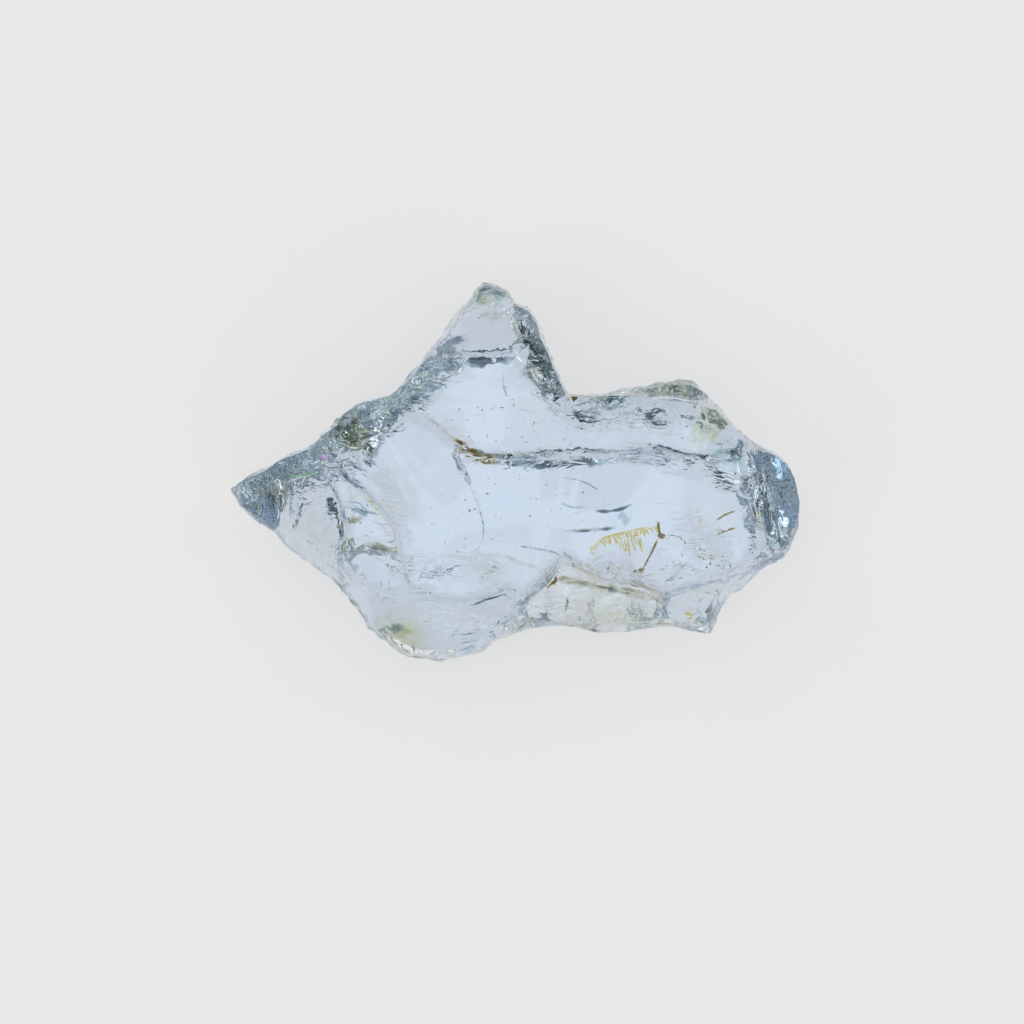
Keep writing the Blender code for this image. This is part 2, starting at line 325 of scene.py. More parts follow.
# Hackly borders of the broad faces: reach inwards, then the line they follow.
roughBorders = (
    (0.85, ((-7.4, -0.5), (-5.9, 0.2), (-4.9, 0.9), (-4.0, 1.65), (-3.0, 2.1), (-2.1, 3.1))),
    (0.55, ((0.2, 4.4), (0.6, 3.7), (0.9, 2.9), (1.2, 2.2))),
    (0.45, ((6.2, 0.7), (7.1, 0.2), (7.3, -0.8), (7.2, -1.8), (6.6, -2.4))),
    (0.50, ((1.5, 1.9), (2.6, 1.9), (4.1, 1.8), (5.2, 1.6))),
    (0.25, ((-1.5, 4.0), (-0.9, 4.8), (-0.3, 4.7), (0.1, 4.3))),
    (0.30, ((0.3, -4.0), (2.2, -4.1), (4.2, -4.0), (5.2, -4.2))),
    (0.45, ((3.1, -3.3), (3.7, -3.5), (3.5, -3.9))),
    (0.35, ((-3.9, -4.0), (-2.9, -4.7), (-1.9, -4.9), (-0.9, -4.8))),
)

# Where the upper side is broken in fine steps: amount, reach, then the line they follow.
stepZones = (
    (1.0, 0.50, ((-2.0, 2.6), (-2.6, 1.9), (-3.3, 1.3), (-4.0, 0.8), (-5.0, 0.1))),
    (0.9, 0.75, ((-5.4, -0.2), (-5.1, -1.1), (-4.9, -2.2))),
    (0.8, 0.45, ((-3.4, -0.2), (-3.1, -0.9), (-2.9, -1.9), (-2.5, -2.5))),
    (0.9, 0.55, ((-2.8, -2.5), (-2.1, -2.5), (-1.4, -2.4), (-0.6, -2.4))),
    (0.7, 0.60, ((-2.4, -3.1), (-2.2, -3.9), (-1.4, -4.2), (-0.6, -3.8))),
    (0.5, 0.35, ((-1.8, 1.2), (-1.2, 0.5), (0.2, 0.35), (1.6, 0.4))),
    (1.0, 0.45, ((3.0, 0.5), (4.2, 0.35), (5.2, 0.0), (6.0, -0.3))),
    (0.8, 0.45, ((1.6, 1.5), (2.8, 1.5), (3.8, 1.2))),
    (0.8, 0.45, ((0.6, 3.4), (0.8, 2.7), (1.2, 2.0))),
    (0.3, 0.40, ((-1.0, 3.9), (-0.6, 4.3), (-0.3, 3.8))),
    (0.35, 0.60, ((6.0, 0.4), (6.5, -0.6), (6.5, -1.8))),
    (0.7, 0.70, ((4.4, -1.4), (5.2, -2.0), (5.0, -2.9))),
    (0.6, 0.45, ((1.6, -2.3), (3.0, -2.6), (3.9, -2.9))),
    (0.5, 0.60, ((0.8, -3.5), (2.2, -3.6), (3.4, -3.6))),
    (0.7, 0.35, ((-0.2, -3.9), (0.3, -3.3), (1.0, -2.6))),
)

# Iron stain on the skin: centre, reach, how brown.
skinStains = (
    ((1.55, 1.93, 3.4), 0.17, 0.55),
    ((5.78, 1.10, 3.4), 0.22, 0.60),
    ((-0.83, 4.45, 2.9), 0.20, 0.35),
    ((2.00, -2.66, 2.8), 0.75, 0.30),
    ((3.50, -3.00, 2.8), 0.60, 0.45),
    ((4.55, -3.55, 2.9), 0.30, 0.45),
    ((-4.15, -3.38, 2.6), 0.18, 0.60),
    ((-3.05, -4.10, 1.2), 0.75, 0.10),
    ((-4.60, 1.10, 1.0), 1.10, 0.25),
    ((-2.60, 2.60, 1.0), 0.90, 0.20),
    ((-6.60, -0.50, 1.0), 0.90, 0.15),
)

# Corners of the rim that are worn round: where, and how far the wear reaches.
wornCorners = (
    ((-1.97, -5.05), 0.42),
    ((-0.95, -4.95), 0.35),
    ((7.49, -1.47), 0.45),
    ((0.10, -4.25), 0.30),
    ((2.30, -4.15), 0.30),
)


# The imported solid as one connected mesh, in millimetres
def weldedStone(node):
    mesh = bmesh.new()
    mesh.from_mesh(node.data)
    bmesh.ops.scale(mesh, vec=(1.0 / mm,) * 3, verts=mesh.verts)
    bmesh.ops.remove_doubles(mesh, verts=mesh.verts, dist=1e-4)
    bmesh.ops.dissolve_degenerate(mesh, edges=mesh.edges, dist=1e-5)
    mesh.normal_update()
    return mesh


# True where all the points rest on the table
def onTable(vertices):
    return all(vertex.co.z < stone["onTable"] for vertex in vertices)


# One round of smooth subdivision that leaves the sharp folds and the foot crisp
def softened(mesh):
    crease = mesh.edges.layers.float.new("crease_edge")
    for edge in mesh.edges:
        angle = math.degrees(edge.calc_face_angle(0.0))
        edge[crease] = 1.0 if onTable(edge.verts) or angle > stone["creaseFrom"] else 0.0
    data = bpy.data.meshes.new("softened")
    mesh.to_mesh(data)
    mesh.free()
    holder = bpy.data.objects.new("softened", data)
    bpy.context.scene.collection.objects.link(holder)
    smoother = holder.modifiers.new("smooth", "SUBSURF")
    smoother.levels = 1
    smoother.render_levels = 1
    graph = bpy.context.evaluated_depsgraph_get()
    ready = bpy.data.meshes.new_from_object(holder.evaluated_get(graph))
    bpy.data.objects.remove(holder)
    result = bmesh.new()
    result.from_mesh(ready)
    for vertex in result.verts:
        vertex.co.z = max(vertex.co.z, 0.0)
    bmesh.ops.triangulate(result, faces=result.faces)
    result.normal_update()
    return result


# The distance in plan from a point to a line of (x, y) points
def nearLine(point, line):
    x, y = point.x, point.y
    nearest = math.inf
    for (ax, ay), (bx, by) in zip(line, line[1:]):
        dx, dy = bx - ax, by - ay
        t = min(1.0, max(0.0, ((x - ax) * dx + (y - ay) * dy) / (dx * dx + dy * dy)))
        nearest = min(nearest, math.hypot(x - ax - dx * t, y - ay - dy * t))
    return nearest


# How far a point on the upper side lies in a rough border, from 0 to 1
def borderShare(point):
    return max(0.0, max(1.0 - nearLine(point, line) / reach for reach, line in roughBorders))


# How strongly a patchy finish shows at a point
def patchShare(point, name):
    middle, swing, grain, least, most = patches[name]
    return min(most, max(least, middle + swing * noise.noise(point / grain)))


# How strongly the upper side is broken in fine steps at a point
def stepShare(point):
    fade = patchShare(point, "faceSteps")
    near = max(amount * (1.0 - nearLine(point, line) / reach) for amount, reach, line in stepZones)
    return min(1.0, max(0.0, berylLook["terraceGain"] * near * fade))


# The longest that an edge may be where it lies
def edgeLimit(edge, steep):
    flat = min(abs(face.normal.z) for face in edge.link_faces)
    if onTable(edge.verts):
        return stone["footEdge"] if flat < 0.999 else math.inf
    if flat < steep:
        return stone["wallEdge"]
    middle = (edge.verts[0].co + edge.verts[1].co) / 2.0
    inBorder = middle.z > stone["upperFrom"] and borderShare(middle) > stone["borderFrom"]
    return stone["borderEdge"] if inBorder else stone["faceEdge"]


def splitLong(mesh):
    steep, shortest = math.cos(math.radians(stone["wallSlope"])), stone["borderEdge"]
    for _ in range(stone["splitRounds"]):
        tooLong = [
            edge for edge in mesh.edges
            if edge.calc_length() > shortest and edge.calc_length() > edgeLimit(edge, steep)
        ]
        if not tooLong:
            return
        bmesh.ops.subdivide_edges(mesh, edges=tooLong, cuts=1)
        wide = [face for face in mesh.faces if len(face.verts) > 3]
        bmesh.ops.triangulate(mesh, faces=wide, quad_method="SHORT_EDGE")
        mesh.normal_update()


# Faint rings like those round the point where glass was struck
def ribHeight(point):
    total = 0.0
    for (x, y), first, last, spacing, height in ribs:
        away = math.hypot(point.x - x, point.y - y)
        if first < away < last:
            fade = math.sin(math.pi * (away - first) / (last - first))
            wobble = noise.noise(point * faceNoise["ribWobbleScale"])
            turns = away / spacing + faceNoise["ribWobble"] * wobble
            total += height * fade * max(math.sin(2.0 * math.pi * turns), faceNoise["ribTrough"])
    return total


# Hackly relief that comes and goes, so glassy patches are left between
def wallHeight(point):
    stretched = Vector((point.x, point.y, point.z * wallNoise["squash"])) / stone["wallGrain"]
    broken = noise.ridged_multi_fractal(stretched, *wallNoise["fractal"]) - wallNoise["level"]
    fine = noise.noise(point / wallNoise["fineGrain"]) * wallNoise["fine"]
    relief = stone["wallRelief"] * patchShare(point, "wallRelief")
    return min(stone["mostGrowth"], relief * (wallNoise["broad"] * broken + fine))


def faceHeight(point):
    second = faceNoise["second"] * noise.noise(point / faceNoise["secondGrain"])
    swell = noise.noise(point / stone["faceGrain"]) + second
    height = stone["faceRelief"] * swell + ribHeight(point)
    share = borderShare(point) if point.z > stone["upperFrom"] else 0.0
    if share > 0.0:
        grain = noise.fractal(point / stone["borderGrain"], *faceNoise["border"])
        height += stone["borderRelief"] * min(1.0, stone["borderGain"] * share) * grain
    return height


def wearCorners(mesh):
    axes = {"use_axis_x": True, "use_axis_y": True, "use_axis_z": False}
    for (x, y), reach in wornCorners:
        near = [
            vertex for vertex in mesh.verts
            if vertex.co.z > 0.05 and math.hypot(vertex.co.x - x, vertex.co.y - y) < reach
        ]
        for _ in range(stone["wearRounds"]):
            bmesh.ops.smooth_vert(mesh, verts=near, factor=stone["wearPull"], **axes)
    mesh.normal_update()


# Gives the stone its relief and notes in "steps" how strongly each point shows terraces
def displaceStone(mesh):
    steep = math.cos(math.radians(stone["wallSlope"]))
    moves, walls = [], set()
    for vertex in mesh.verts:
        flattest = max(abs(face.normal.z) for face in vertex.link_faces)
        steepest = min(abs(face.normal.z) for face in vertex.link_faces)
        if flattest < steep and vertex.co.z > 0.02:
            walls.add(vertex)
        height = wallHeight(vertex.co) if flattest < steep else faceHeight(vertex.co)
        if flattest > stone["chipFlat"] and steepest < stone["chipUpright"]:
            chip = noise.noise(vertex.co / stone["chipGrain"]) + stone["chipLift"]
            height = -stone["edgeChip"] * max(0.0, chip)
        moves.append(vertex.normal * height)
    steps = mesh.verts.layers.float.new("steps")
    for vertex, move in zip(mesh.verts, moves):
        if vertex.co.z > stone["onTable"]:
            vertex.co += move
            vertex.co.z = max(vertex.co.z, 0.01)
        if vertex in walls:
            vertex[steps] = berylLook["wallTerraces"] * patchShare(vertex.co, "wallSteps")
        elif vertex.co.z > stone["upperFrom"]:
            vertex[steps] = stepShare(vertex.co)


# 1 at the stain's centre, 0 at its reach
def stainMask(tree, place, centre, reach):
    target = tree.nodes.new("ShaderNodeCombineXYZ")
    for index, value in enumerate(centre):
        target.inputs[index].default_value = value * mm
    sockets = ((0, place), (1, target.outputs[0]))
    away = addNode(tree, "ShaderNodeVectorMath", sockets, operation="DISTANCE").outputs["Value"]
    return remap(tree, away, reach * mm, berylLook["stainCore"] * reach * mm)


# Sets the shader to plain glass with that index and roughness
def makeClear(shader, ior, roughness):
    shader.inputs["IOR"].default_value = ior
    shader.inputs["Transmission Weight"].default_value = 1.0
    shader.inputs["Roughness"].default_value = roughness


def berylMaterial():
    material, tree, shader, output = newMaterial("beryl")
    place = objectPlace(tree)
    colour = berylLook["base"]
    for centre, reach, brown in skinStains:
        iron = placeGroup(tree, ironStain, Brown=brown, **berylLook["iron"])
        near = stainMask(tree, place, centre, reach)
        share = combine(tree, "MULTIPLY", near, iron.outputs["Share"])
        colour = mixColours(tree, share, colour, iron.outputs["Color"])
    tree.links.new(colour, shader.inputs["Base Color"])
    hackle = placeGroup(tree, fineHackle, **berylLook["hackle"])
    addBump(tree, shader, hackle.outputs[0], *berylLook["hackleRelief"])
    here = addNode(tree, "ShaderNodeAttribute", attribute_name="steps").outputs["Fac"]
    for scale, levels, depth in berylLook["terraces"]:
        steps = placeGroup(tree, fractureSteps, Scale=scale, Levels=levels)
        addBump(tree, shader, steps.outputs[0], here, depth)
    makeClear(shader, berylIor, berylLook["roughness"])
    grain, (low, high) = noiseAt(tree, place, berylLook["dullGrain"]), berylLook["dullRange"]
    dull = remap(tree, grain, low, high, berylLook["roughness"], berylLook["dullRoughness"])
    tree.links.new(dull, shader.inputs["Roughness"])
    depth = tree.nodes.new("ShaderNodeVolumeAbsorption")
    depth.inputs["Color"].default_value = berylLook["tint"]
    depth.inputs["Density"].default_value = berylLook["tintDensity"]
    tree.links.new(depth.outputs[0], output.inputs["Volume"])
    return material


def buildStone():
    mesh = softened(weldedStone(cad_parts["aquamarine_crystal"]))
    splitLong(mesh)
    wearCorners(mesh)
    displaceStone(mesh)
    piece = finishPiece("crystal_body", mesh, berylMaterial(), sharpFrom=stone["crispFrom"])
    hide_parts("aquamarine_crystal")
    return piece


sheets = {
    "step": 0.035,  # spacing of points along a sheet
    "gapDip": 52.0,  # degrees from level: steep enough to mirror the dim surroundings
    "gapWave": 0.22,  # how far a crack waves, as a share of its width
    "filmDip": 20.0,
    "filmSpread": 1.5,  # a stain fades out over this many times its width
    "waveGrain": 0.18,
    "seed": 5,
    "skinDepth": 0.07,  # no sheet comes nearer the stone's skin than this
    "letGo": 0.06,  # a stain has faded out where the skin pushed it this far
    "ragged": 0.6,
    "raggedStep": 0.2,
    "gapShare": 0.05,  # a crack gapes by this share of its width
    "gapLeast": 0.002,
    "gapTwist": 7.0,
    "gapPoints": 7,
    "filmWave": 0.06,
    "filmPoint": 0.045,  # spacing of points across a stain
    "filmOpening": 0.003,
    "tries": (0.0, -0.4, -0.8, 0.4, -1.2, -1.6, -2.0),  # heights tried, from the wanted one
    "lowest": 0.3,
    "hairHeight": 0.15,  # hair lines vary in height by this much
}

# How strong a stain is along and across it: middle, swing, grain along, grain across.
filmStreaks = (0.85, 0.6, 0.45, 0.07)
filmPatches = (0.95, 0.5, 0.30, 0.20)

gapLook = {
    "roughness": 0.03,
    "iron": {"Scale": 2500.0, "Cover": 0.45, "Brown": 0.5},
    "ironShare": 0.35,
    "hackle": {"Scale": 6000.0, "Pits": 0.1},
    "hackleRelief": (0.3, 0.004),  # strength and depth
}

filmLook = {
    "grain": (9000.0, 6.0, 0.65),  # scale, detail and roughness of its noise
    "grainShare": 0.4,
    "coverGain": 1.2,
}

# Open cracks: height of the middle, width seen from above, then the line they follow.
clearCracks = {
    "centralLeft": (3.7, 0.079, ((-2.37, 1.36), (-1.97, 1.07), (-1.65, 0.83))),
    "central": (3.6, 0.132,
        ((-1.28, 0.60), (-0.91, 0.41), (-0.38, 0.34), (0.20, 0.37), (0.81, 0.41), (1.26, 0.41))),
    "centralRight": (3.6, 0.106, ((1.68, 0.44), (2.26, 0.46), (2.92, 0.52), (3.64, 0.57))),
    "centralEnd": (3.7, 0.093,
        ((3.72, 0.57), (4.03, 0.49), (4.33, 0.36), (4.70, 0.36), (5.07, 0.20))),
    "crescentTail": (2.7, 0.106,
        ((-4.30, -1.20), (-4.22, -1.60), (-4.27, -2.05), (-4.48, -2.47), (-4.70, -2.79))),
    "thinCrescent": (2.4, 0.093,
        ((-5.70, -0.07), (-5.57, -0.38), (-5.46, -0.75), (-5.49, -1.10), (-5.60, -1.44))),
    "lowLine": (3.2, 0.119,
        ((-4.30, -2.10), (-3.98, -2.02), (-3.64, -2.02), (-3.40, -2.08), (-3.13, -2.18),
         (-2.82, -2.16))),
    "lowHair": (3.3, 0.058,
        ((-3.61, -2.16), (-3.27, -2.39), (-2.98, -2.53), (-2.74, -2.66), (-2.50, -2.58))),
    "peakCurl": (3.0, 0.106,
        ((-1.76, 2.84), (-1.57, 2.98), (-1.42, 2.87), (-1.44, 2.69), (-1.65, 2.66))),
    "spike": (3.6, 0.132, ((-1.57, 0.62), (-1.42, 0.33), (-1.26, 0.01), (-1.15, -0.33))),
    "longArc": (3.0, 0.042,
        ((-1.15, -0.33), (-0.97, -0.75), (-0.83, -1.26), (-0.83, -1.68), (-0.99, -2.05),
         (-1.23, -2.29))),
    "apexLine": (3.4, 0.058, ((0.15, -1.87), (0.54, -1.94), (0.89, -2.00), (1.18, -2.08))),
    "hair": (3.4, 0.042, ((1.28, -1.49), (1.73, -1.44), (2.26, -1.39))),
    "lobeBand": (2.6, 0.132,
        ((-3.27, -4.17), (-2.92, -4.38), (-2.50, -4.54), (-1.97, -4.59), (-1.55, -4.51))),
    "lobeEdge": (2.4, 0.106, ((-1.79, -4.91), (-1.47, -4.93), (-1.12, -4.91))),
    "secondStreak": (3.0, 0.159, ((-3.37, 1.34), (-3.48, 1.04), (-3.61, 0.73), (-3.80, 0.33))),
    "rightStreakA": (2.8, 0.079, ((6.07, 0.33), (6.15, -0.15), (6.20, -0.67))),
    "rightStreakB": (2.6, 0.106, ((6.42, 0.12), (6.57, -0.41), (6.71, -0.94))),
    "rightStreakC": (2.4, 0.106, ((6.55, -1.34), (6.71, -1.73), (6.92, -2.16))),
    "rightStreakD": (2.6, 0.079, ((6.28, -1.60), (6.44, -1.94), (6.55, -2.29))),
    "rightHair": (3.5, 0.053, ((4.91, 0.52), (5.22, 0.30), (5.49, 0.22))),
    "windowHairA": (3.0, 0.037, ((1.20, -0.09), (1.73, -0.17), (2.21, -0.41))),
    "windowHairB": (3.2, 0.042, ((0.41, 2.10), (0.81, 1.87), (1.10, 1.49))),
    "windowHairC": (3.0, 0.034, ((-0.25, 2.71), (-0.30, 2.37), (-0.20, 2.02))),
}

# Healed cracks and stains: height, width, strength, then the line they follow. In this first
# table the dark blue-grey tint on the healed-crack sheets is painted shade, standing in for the
# dark that cracks and steps show where they turn light away.
darkShadeFilms = {
    "seamLeft": (3.3, 0.19, 0.86,
        ((-1.18, 0.60), (-0.75, 0.44), (-0.38, 0.33), (0.15, 0.28), (0.81, 0.30))),
    "seam": (3.2, 0.29, 1.09,
        ((0.15, 0.30), (0.81, 0.33), (1.34, 0.38), (2.00, 0.41), (2.66, 0.41))),
    "seamRight": (3.2, 0.16, 0.80,
        ((2.39, 0.41), (3.32, 0.38), (3.98, 0.46), (4.64, 0.33), (5.22, 0.28), (5.83, 0.33))),
    "flankStreak": (3.0, 0.29, 0.92, ((-3.45, 1.34), (-3.51, 1.02), (-3.64, 0.70), (-3.82, 0.33))),
    "peakBar": (2.7, 0.27, 1.49,
        ((-1.49, 2.98), (-1.18, 2.95), (-0.75, 2.98), (-0.36, 3.03), (0.01, 3.08))),
    "peakKnot": (2.8, 0.29, 0.80, ((-1.81, 3.08), (-1.71, 2.82), (-1.49, 2.74), (-1.36, 2.98))),
    "peakCap": (2.0, 0.29, 0.40, ((-0.91, 4.62), (-0.60, 4.67), (-0.25, 4.46))),
    "hook": (2.7, 0.22, 1.84,
        ((-4.85, -0.57), (-4.70, -0.81), (-4.54, -1.07), (-4.43, -1.36), (-4.40, -1.68))),
    "hookTail": (2.6, 0.16, 0.80, ((-4.30, -1.73), (-4.25, -2.05), (-4.35, -2.37))),
    "arcA": (2.6, 0.08, 0.80,
        ((-5.60, 0.01), (-5.46, -0.36), (-5.44, -0.83), (-5.54, -1.26), (-5.70, -1.52))),
    "arcB": (2.6, 0.10, 0.69, ((-5.86, -0.01), (-5.75, -0.41), (-5.75, -0.83), (-5.83, -1.20))),
    "leftBar": (3.1, 0.16, 0.69, ((-4.22, -0.89), (-4.03, -0.97), (-3.77, -1.07))),
    "lowBar": (3.1, 0.14, 0.63,
        ((-3.93, -1.89), (-3.61, -1.94), (-3.29, -2.05), (-3.03, -2.10), (-2.84, -2.08))),
    "lowBarLeft": (2.9, 0.16, 0.57, ((-4.19, -2.16), (-4.03, -1.97), (-3.82, -1.87))),
    "markA": (3.4, 0.08, 0.98, ((2.05, -0.94), (2.42, -0.97), (2.79, -0.91), (3.16, -0.73))),
    "markB": (3.2, 0.25, 0.52, ((2.69, -0.99), (2.87, -1.12), (3.06, -1.28))),
    "markC": (3.2, 0.10, 0.80, ((1.34, -1.49), (1.87, -1.47), (2.39, -1.42), (2.84, -1.36))),
    "markD": (3.2, 0.06, 0.57, ((1.10, -0.62), (1.26, -0.75), (1.60, -0.86), (2.00, -0.81))),
    "waveA": (3.5, 0.16, 1.03,
        ((3.72, 0.65), (3.96, 0.60), (4.22, 0.44), (4.54, 0.38), (4.80, 0.33))),
    "waveB": (3.5, 0.13, 0.92, ((2.26, 0.44), (2.58, 0.49), (2.90, 0.49))),
    "striaA": (3.5, 0.08, 1.03, ((4.91, 0.01), (5.22, -0.07), (5.54, -0.20), (5.86, -0.33))),
    "striaB": (3.5, 0.06, 0.98, ((5.12, -0.20), (5.38, -0.28), (5.70, -0.41), (5.91, -0.46))),
    "striaC": (3.5, 0.06, 0.92, ((4.85, 0.22), (5.12, 0.12), (5.44, 0.04), (5.81, -0.09))),
    "knotA": (3.4, 0.10, 0.92, ((3.35, 1.63), (3.51, 1.49), (3.64, 1.34), (3.85, 1.23))),
    "knotB": (3.4, 0.16, 1.03, ((3.72, 1.23), (3.88, 1.26), (4.01, 1.31))),
    "knotC": (3.4, 0.13, 0.92, ((3.32, 1.44), (3.58, 1.55), (3.85, 1.60), (4.06, 1.47))),
    "underBrowA": (3.3, 0.16, 0.92, ((1.42, 1.55), (1.68, 1.52), (2.00, 1.44), (2.26, 1.42))),
    "underBrowB": (3.3, 0.16, 0.92, ((2.26, 1.84), (2.58, 1.87), (2.95, 1.87))),
    "ledgeStroke": (1.5, 0.07, 0.63, ((1.42, -3.19), (1.39, -3.43), (1.34, -3.64))),
    "ledgeBar": (1.4, 0.16, 1.03, ((1.60, -3.80), (1.84, -3.90), (2.10, -3.98), (2.31, -4.06))),
    "ledgeKnot": (1.5, 0.13, 0.92, ((2.47, -2.98), (2.61, -3.03), (2.74, -3.08))),
    "lobeBar": (2.3, 0.16, 0.69,
        ((-4.03, -3.64), (-3.66, -3.80), (-3.29, -3.90), (-2.92, -3.96), (-2.66, -3.90))),
    "lobeRim": (1.9, 0.22, 0.92,
        ((-3.35, -4.64), (-2.92, -4.80), (-2.39, -4.88), (-1.87, -4.88), (-1.39, -4.80))),
    "lobeTip": (1.9, 0.19, 1.03, ((-1.81, -4.96), (-1.55, -4.96), (-1.23, -4.91), (-1.02, -4.80))),
    "lobeRight": (2.0, 0.29, 0.69, ((-1.44, -4.59), (-1.23, -4.43), (-1.02, -4.22))),
    "shard": (1.6, 0.44, 0.98, ((-0.04, -4.22), (0.07, -4.01), (0.17, -3.74))),
    "corner": (1.6, 0.35, 0.92, ((4.64, -3.85), (4.88, -3.98), (5.09, -4.17), (5.20, -4.30))),
    "cornerInner": (2.2, 0.38, 0.57, ((4.64, -3.77), (4.91, -3.64), (5.12, -3.48))),
    "endStreakC": (2.6, 0.16, 0.69, ((5.83, 0.12), (5.99, -0.15), (6.10, -0.46))),
    "leftKnot": (2.2, 0.25, 0.92, ((-5.25, -2.47), (-5.09, -2.58), (-4.85, -2.55))),
    "leftSmear": (2.4, 0.29, 0.69, ((-4.48, -2.26), (-4.30, -2.42), (-4.03, -2.58))),
    "wedgeLine": (3.4, 0.10, 0.92,
        ((-1.23, -3.45), (-0.86, -3.29), (-0.49, -3.16), (-0.07, -3.11))),
    "chipLine": (3.4, 0.04, 1.03,
        ((-2.39, -2.79), (-2.08, -2.66), (-1.76, -2.53), (-1.49, -2.42))),
    "peakVeil": (2.4, 0.70, 0.34,
        ((-1.81, 3.35), (-1.44, 3.98), (-0.97, 4.40), (-0.38, 4.40), (0.20, 4.03))),
    "peakVeilRight": (2.9, 0.48, 0.69, ((0.25, 3.69), (0.52, 3.13), (0.83, 2.50), (1.10, 1.92))),
    "flakeGrey": (0.9, 0.41, 0.46, ((3.32, 2.18), (3.98, 2.39), (4.70, 2.29), (5.17, 1.92))),
    "spike": (3.3, 0.10, 0.80, ((-1.65, 0.60), (-1.49, 0.30), (-1.36, 0.01))),
}

oliveFilms = {
    "flankOlive": (2.9, 0.70, 0.88, ((-4.35, 0.70), (-4.09, 0.99), (-3.80, 1.31))),
    "tipOlive": (2.4, 0.47, 0.33, ((-6.68, -0.46), (-6.34, -0.38), (-5.89, -0.52))),
    "flakeOlive": (0.9, 0.41, 0.33,
        ((3.00, 2.10), (3.53, 2.24), (4.11, 2.24), (4.78, 2.02), (5.12, 1.84))),
    "lobeOlive": (2.2, 0.35, 0.33,
        ((-3.93, -3.77), (-3.72, -4.01), (-3.45, -4.30), (-3.13, -4.51))),
    "ledgeOlive": (1.7, 0.23, 0.77,
        ((1.20, -2.79), (1.87, -2.87), (2.53, -3.00), (3.19, -3.11), (3.72, -3.27))),
    "ledgeBox": (1.5, 0.09, 0.77, ((3.85, -3.43), (3.88, -3.74), (3.77, -4.11))),
    "ledgeBoxB": (1.5, 0.09, 0.55, ((2.05, -3.24), (2.00, -3.53), (2.16, -3.85), (2.26, -4.06))),
    "lowSeam": (3.0, 0.15, 0.66, ((-4.03, -1.76), (-3.61, -1.87), (-3.16, -1.97), (-2.84, -2.02))),
    "leftOlive": (2.8, 0.23, 0.55, ((-4.30, -1.10), (-4.11, -1.18), (-3.88, -1.02))),
    "windowOlive": (3.0, 0.12, 0.44,
        ((-0.46, -2.08), (-0.12, -2.18), (0.30, -2.34), (0.81, -2.50))),
    "windowOliveB": (3.0, 0.15, 0.44, ((-0.94, -2.47), (-0.60, -2.50), (-0.30, -2.53))),
    "lowOlive": (2.6, 0.23, 0.55, ((-0.25, -2.79), (-0.07, -3.06), (0.20, -3.32))),
    "facetOlive": (3.0, 0.70, 0.39, ((4.70, 1.44), (5.09, 1.28), (5.49, 0.97))),
    "kneeRun": (3.2, 0.09, 0.66, ((-0.52, 0.28), (-0.07, 0.25), (0.41, 0.28))),
    "ledgeDust": (1.7, 0.17, 0.66, ((1.02, -2.74), (1.47, -2.79), (2.00, -2.90))),
}

brownFilms = {
    "knee": (3.3, 0.15, 1.06,
        ((-1.79, 0.99), (-1.57, 0.78), (-1.36, 0.62), (-1.10, 0.46), (-0.86, 0.36),
         (-0.38, 0.28))),
    "kneeTail": (3.2, 0.09, 0.75, ((-2.37, 1.34), (-2.08, 1.15), (-1.79, 0.94))),
    "blob": (1.9, 0.32, 1.62, ((0.78, -2.92), (0.91, -2.74), (1.10, -2.61))),
    "drip": (1.9, 0.20, 1.62, ((3.11, -2.90), (3.24, -2.66), (3.40, -2.42))),
    "dripLine": (3.0, 0.05, 1.62, ((3.32, -2.53), (3.48, -2.24), (3.64, -1.94), (3.77, -1.65))),
    "dripHead": (3.1, 0.15, 1.50, ((3.74, -1.55), (3.85, -1.63), (3.96, -1.60))),
    "dripTop": (3.1, 0.07, 1.25, ((3.77, -1.20), (3.77, -1.39), (3.82, -1.60))),
    "notch": (3.2, 0.23, 1.25, ((1.52, 2.08), (1.57, 1.94), (1.68, 1.87))),
    "ledgeCorner": (1.7, 0.15, 0.69, ((3.53, -3.06), (3.74, -3.16), (3.90, -3.29))),
    "veinA": (3.1, 0.04, 1.00, ((3.96, -1.63), (4.27, -1.63), (4.48, -1.76), (4.59, -1.89))),
    "veinB": (3.1, 0.05, 0.88, ((4.59, -1.94), (4.80, -2.05), (5.01, -2.24))),
    "veinC": (3.1, 0.05, 0.88, ((5.22, -1.26), (5.49, -1.07), (5.83, -0.94))),
    "veinD": (3.1, 0.05, 1.00, ((5.22, -1.63), (5.49, -1.49), (5.81, -1.39))),
    "leftFleck": (2.2, 0.12, 0.88, ((-4.38, -2.71), (-4.27, -2.58), (-4.19, -2.45))),
    "lowFleck": (1.9, 0.12, 0.88, ((-4.25, -3.37), (-4.14, -3.40), (-4.03, -3.43))),
    "rimFleck": (3.2, 0.20, 1.00, ((5.67, 1.15), (5.78, 1.15), (5.91, 1.18))),
    "chipFleck": (3.3, 0.07, 0.75, ((-2.76, -2.61), (-2.69, -2.53), (-2.58, -2.55))),
}

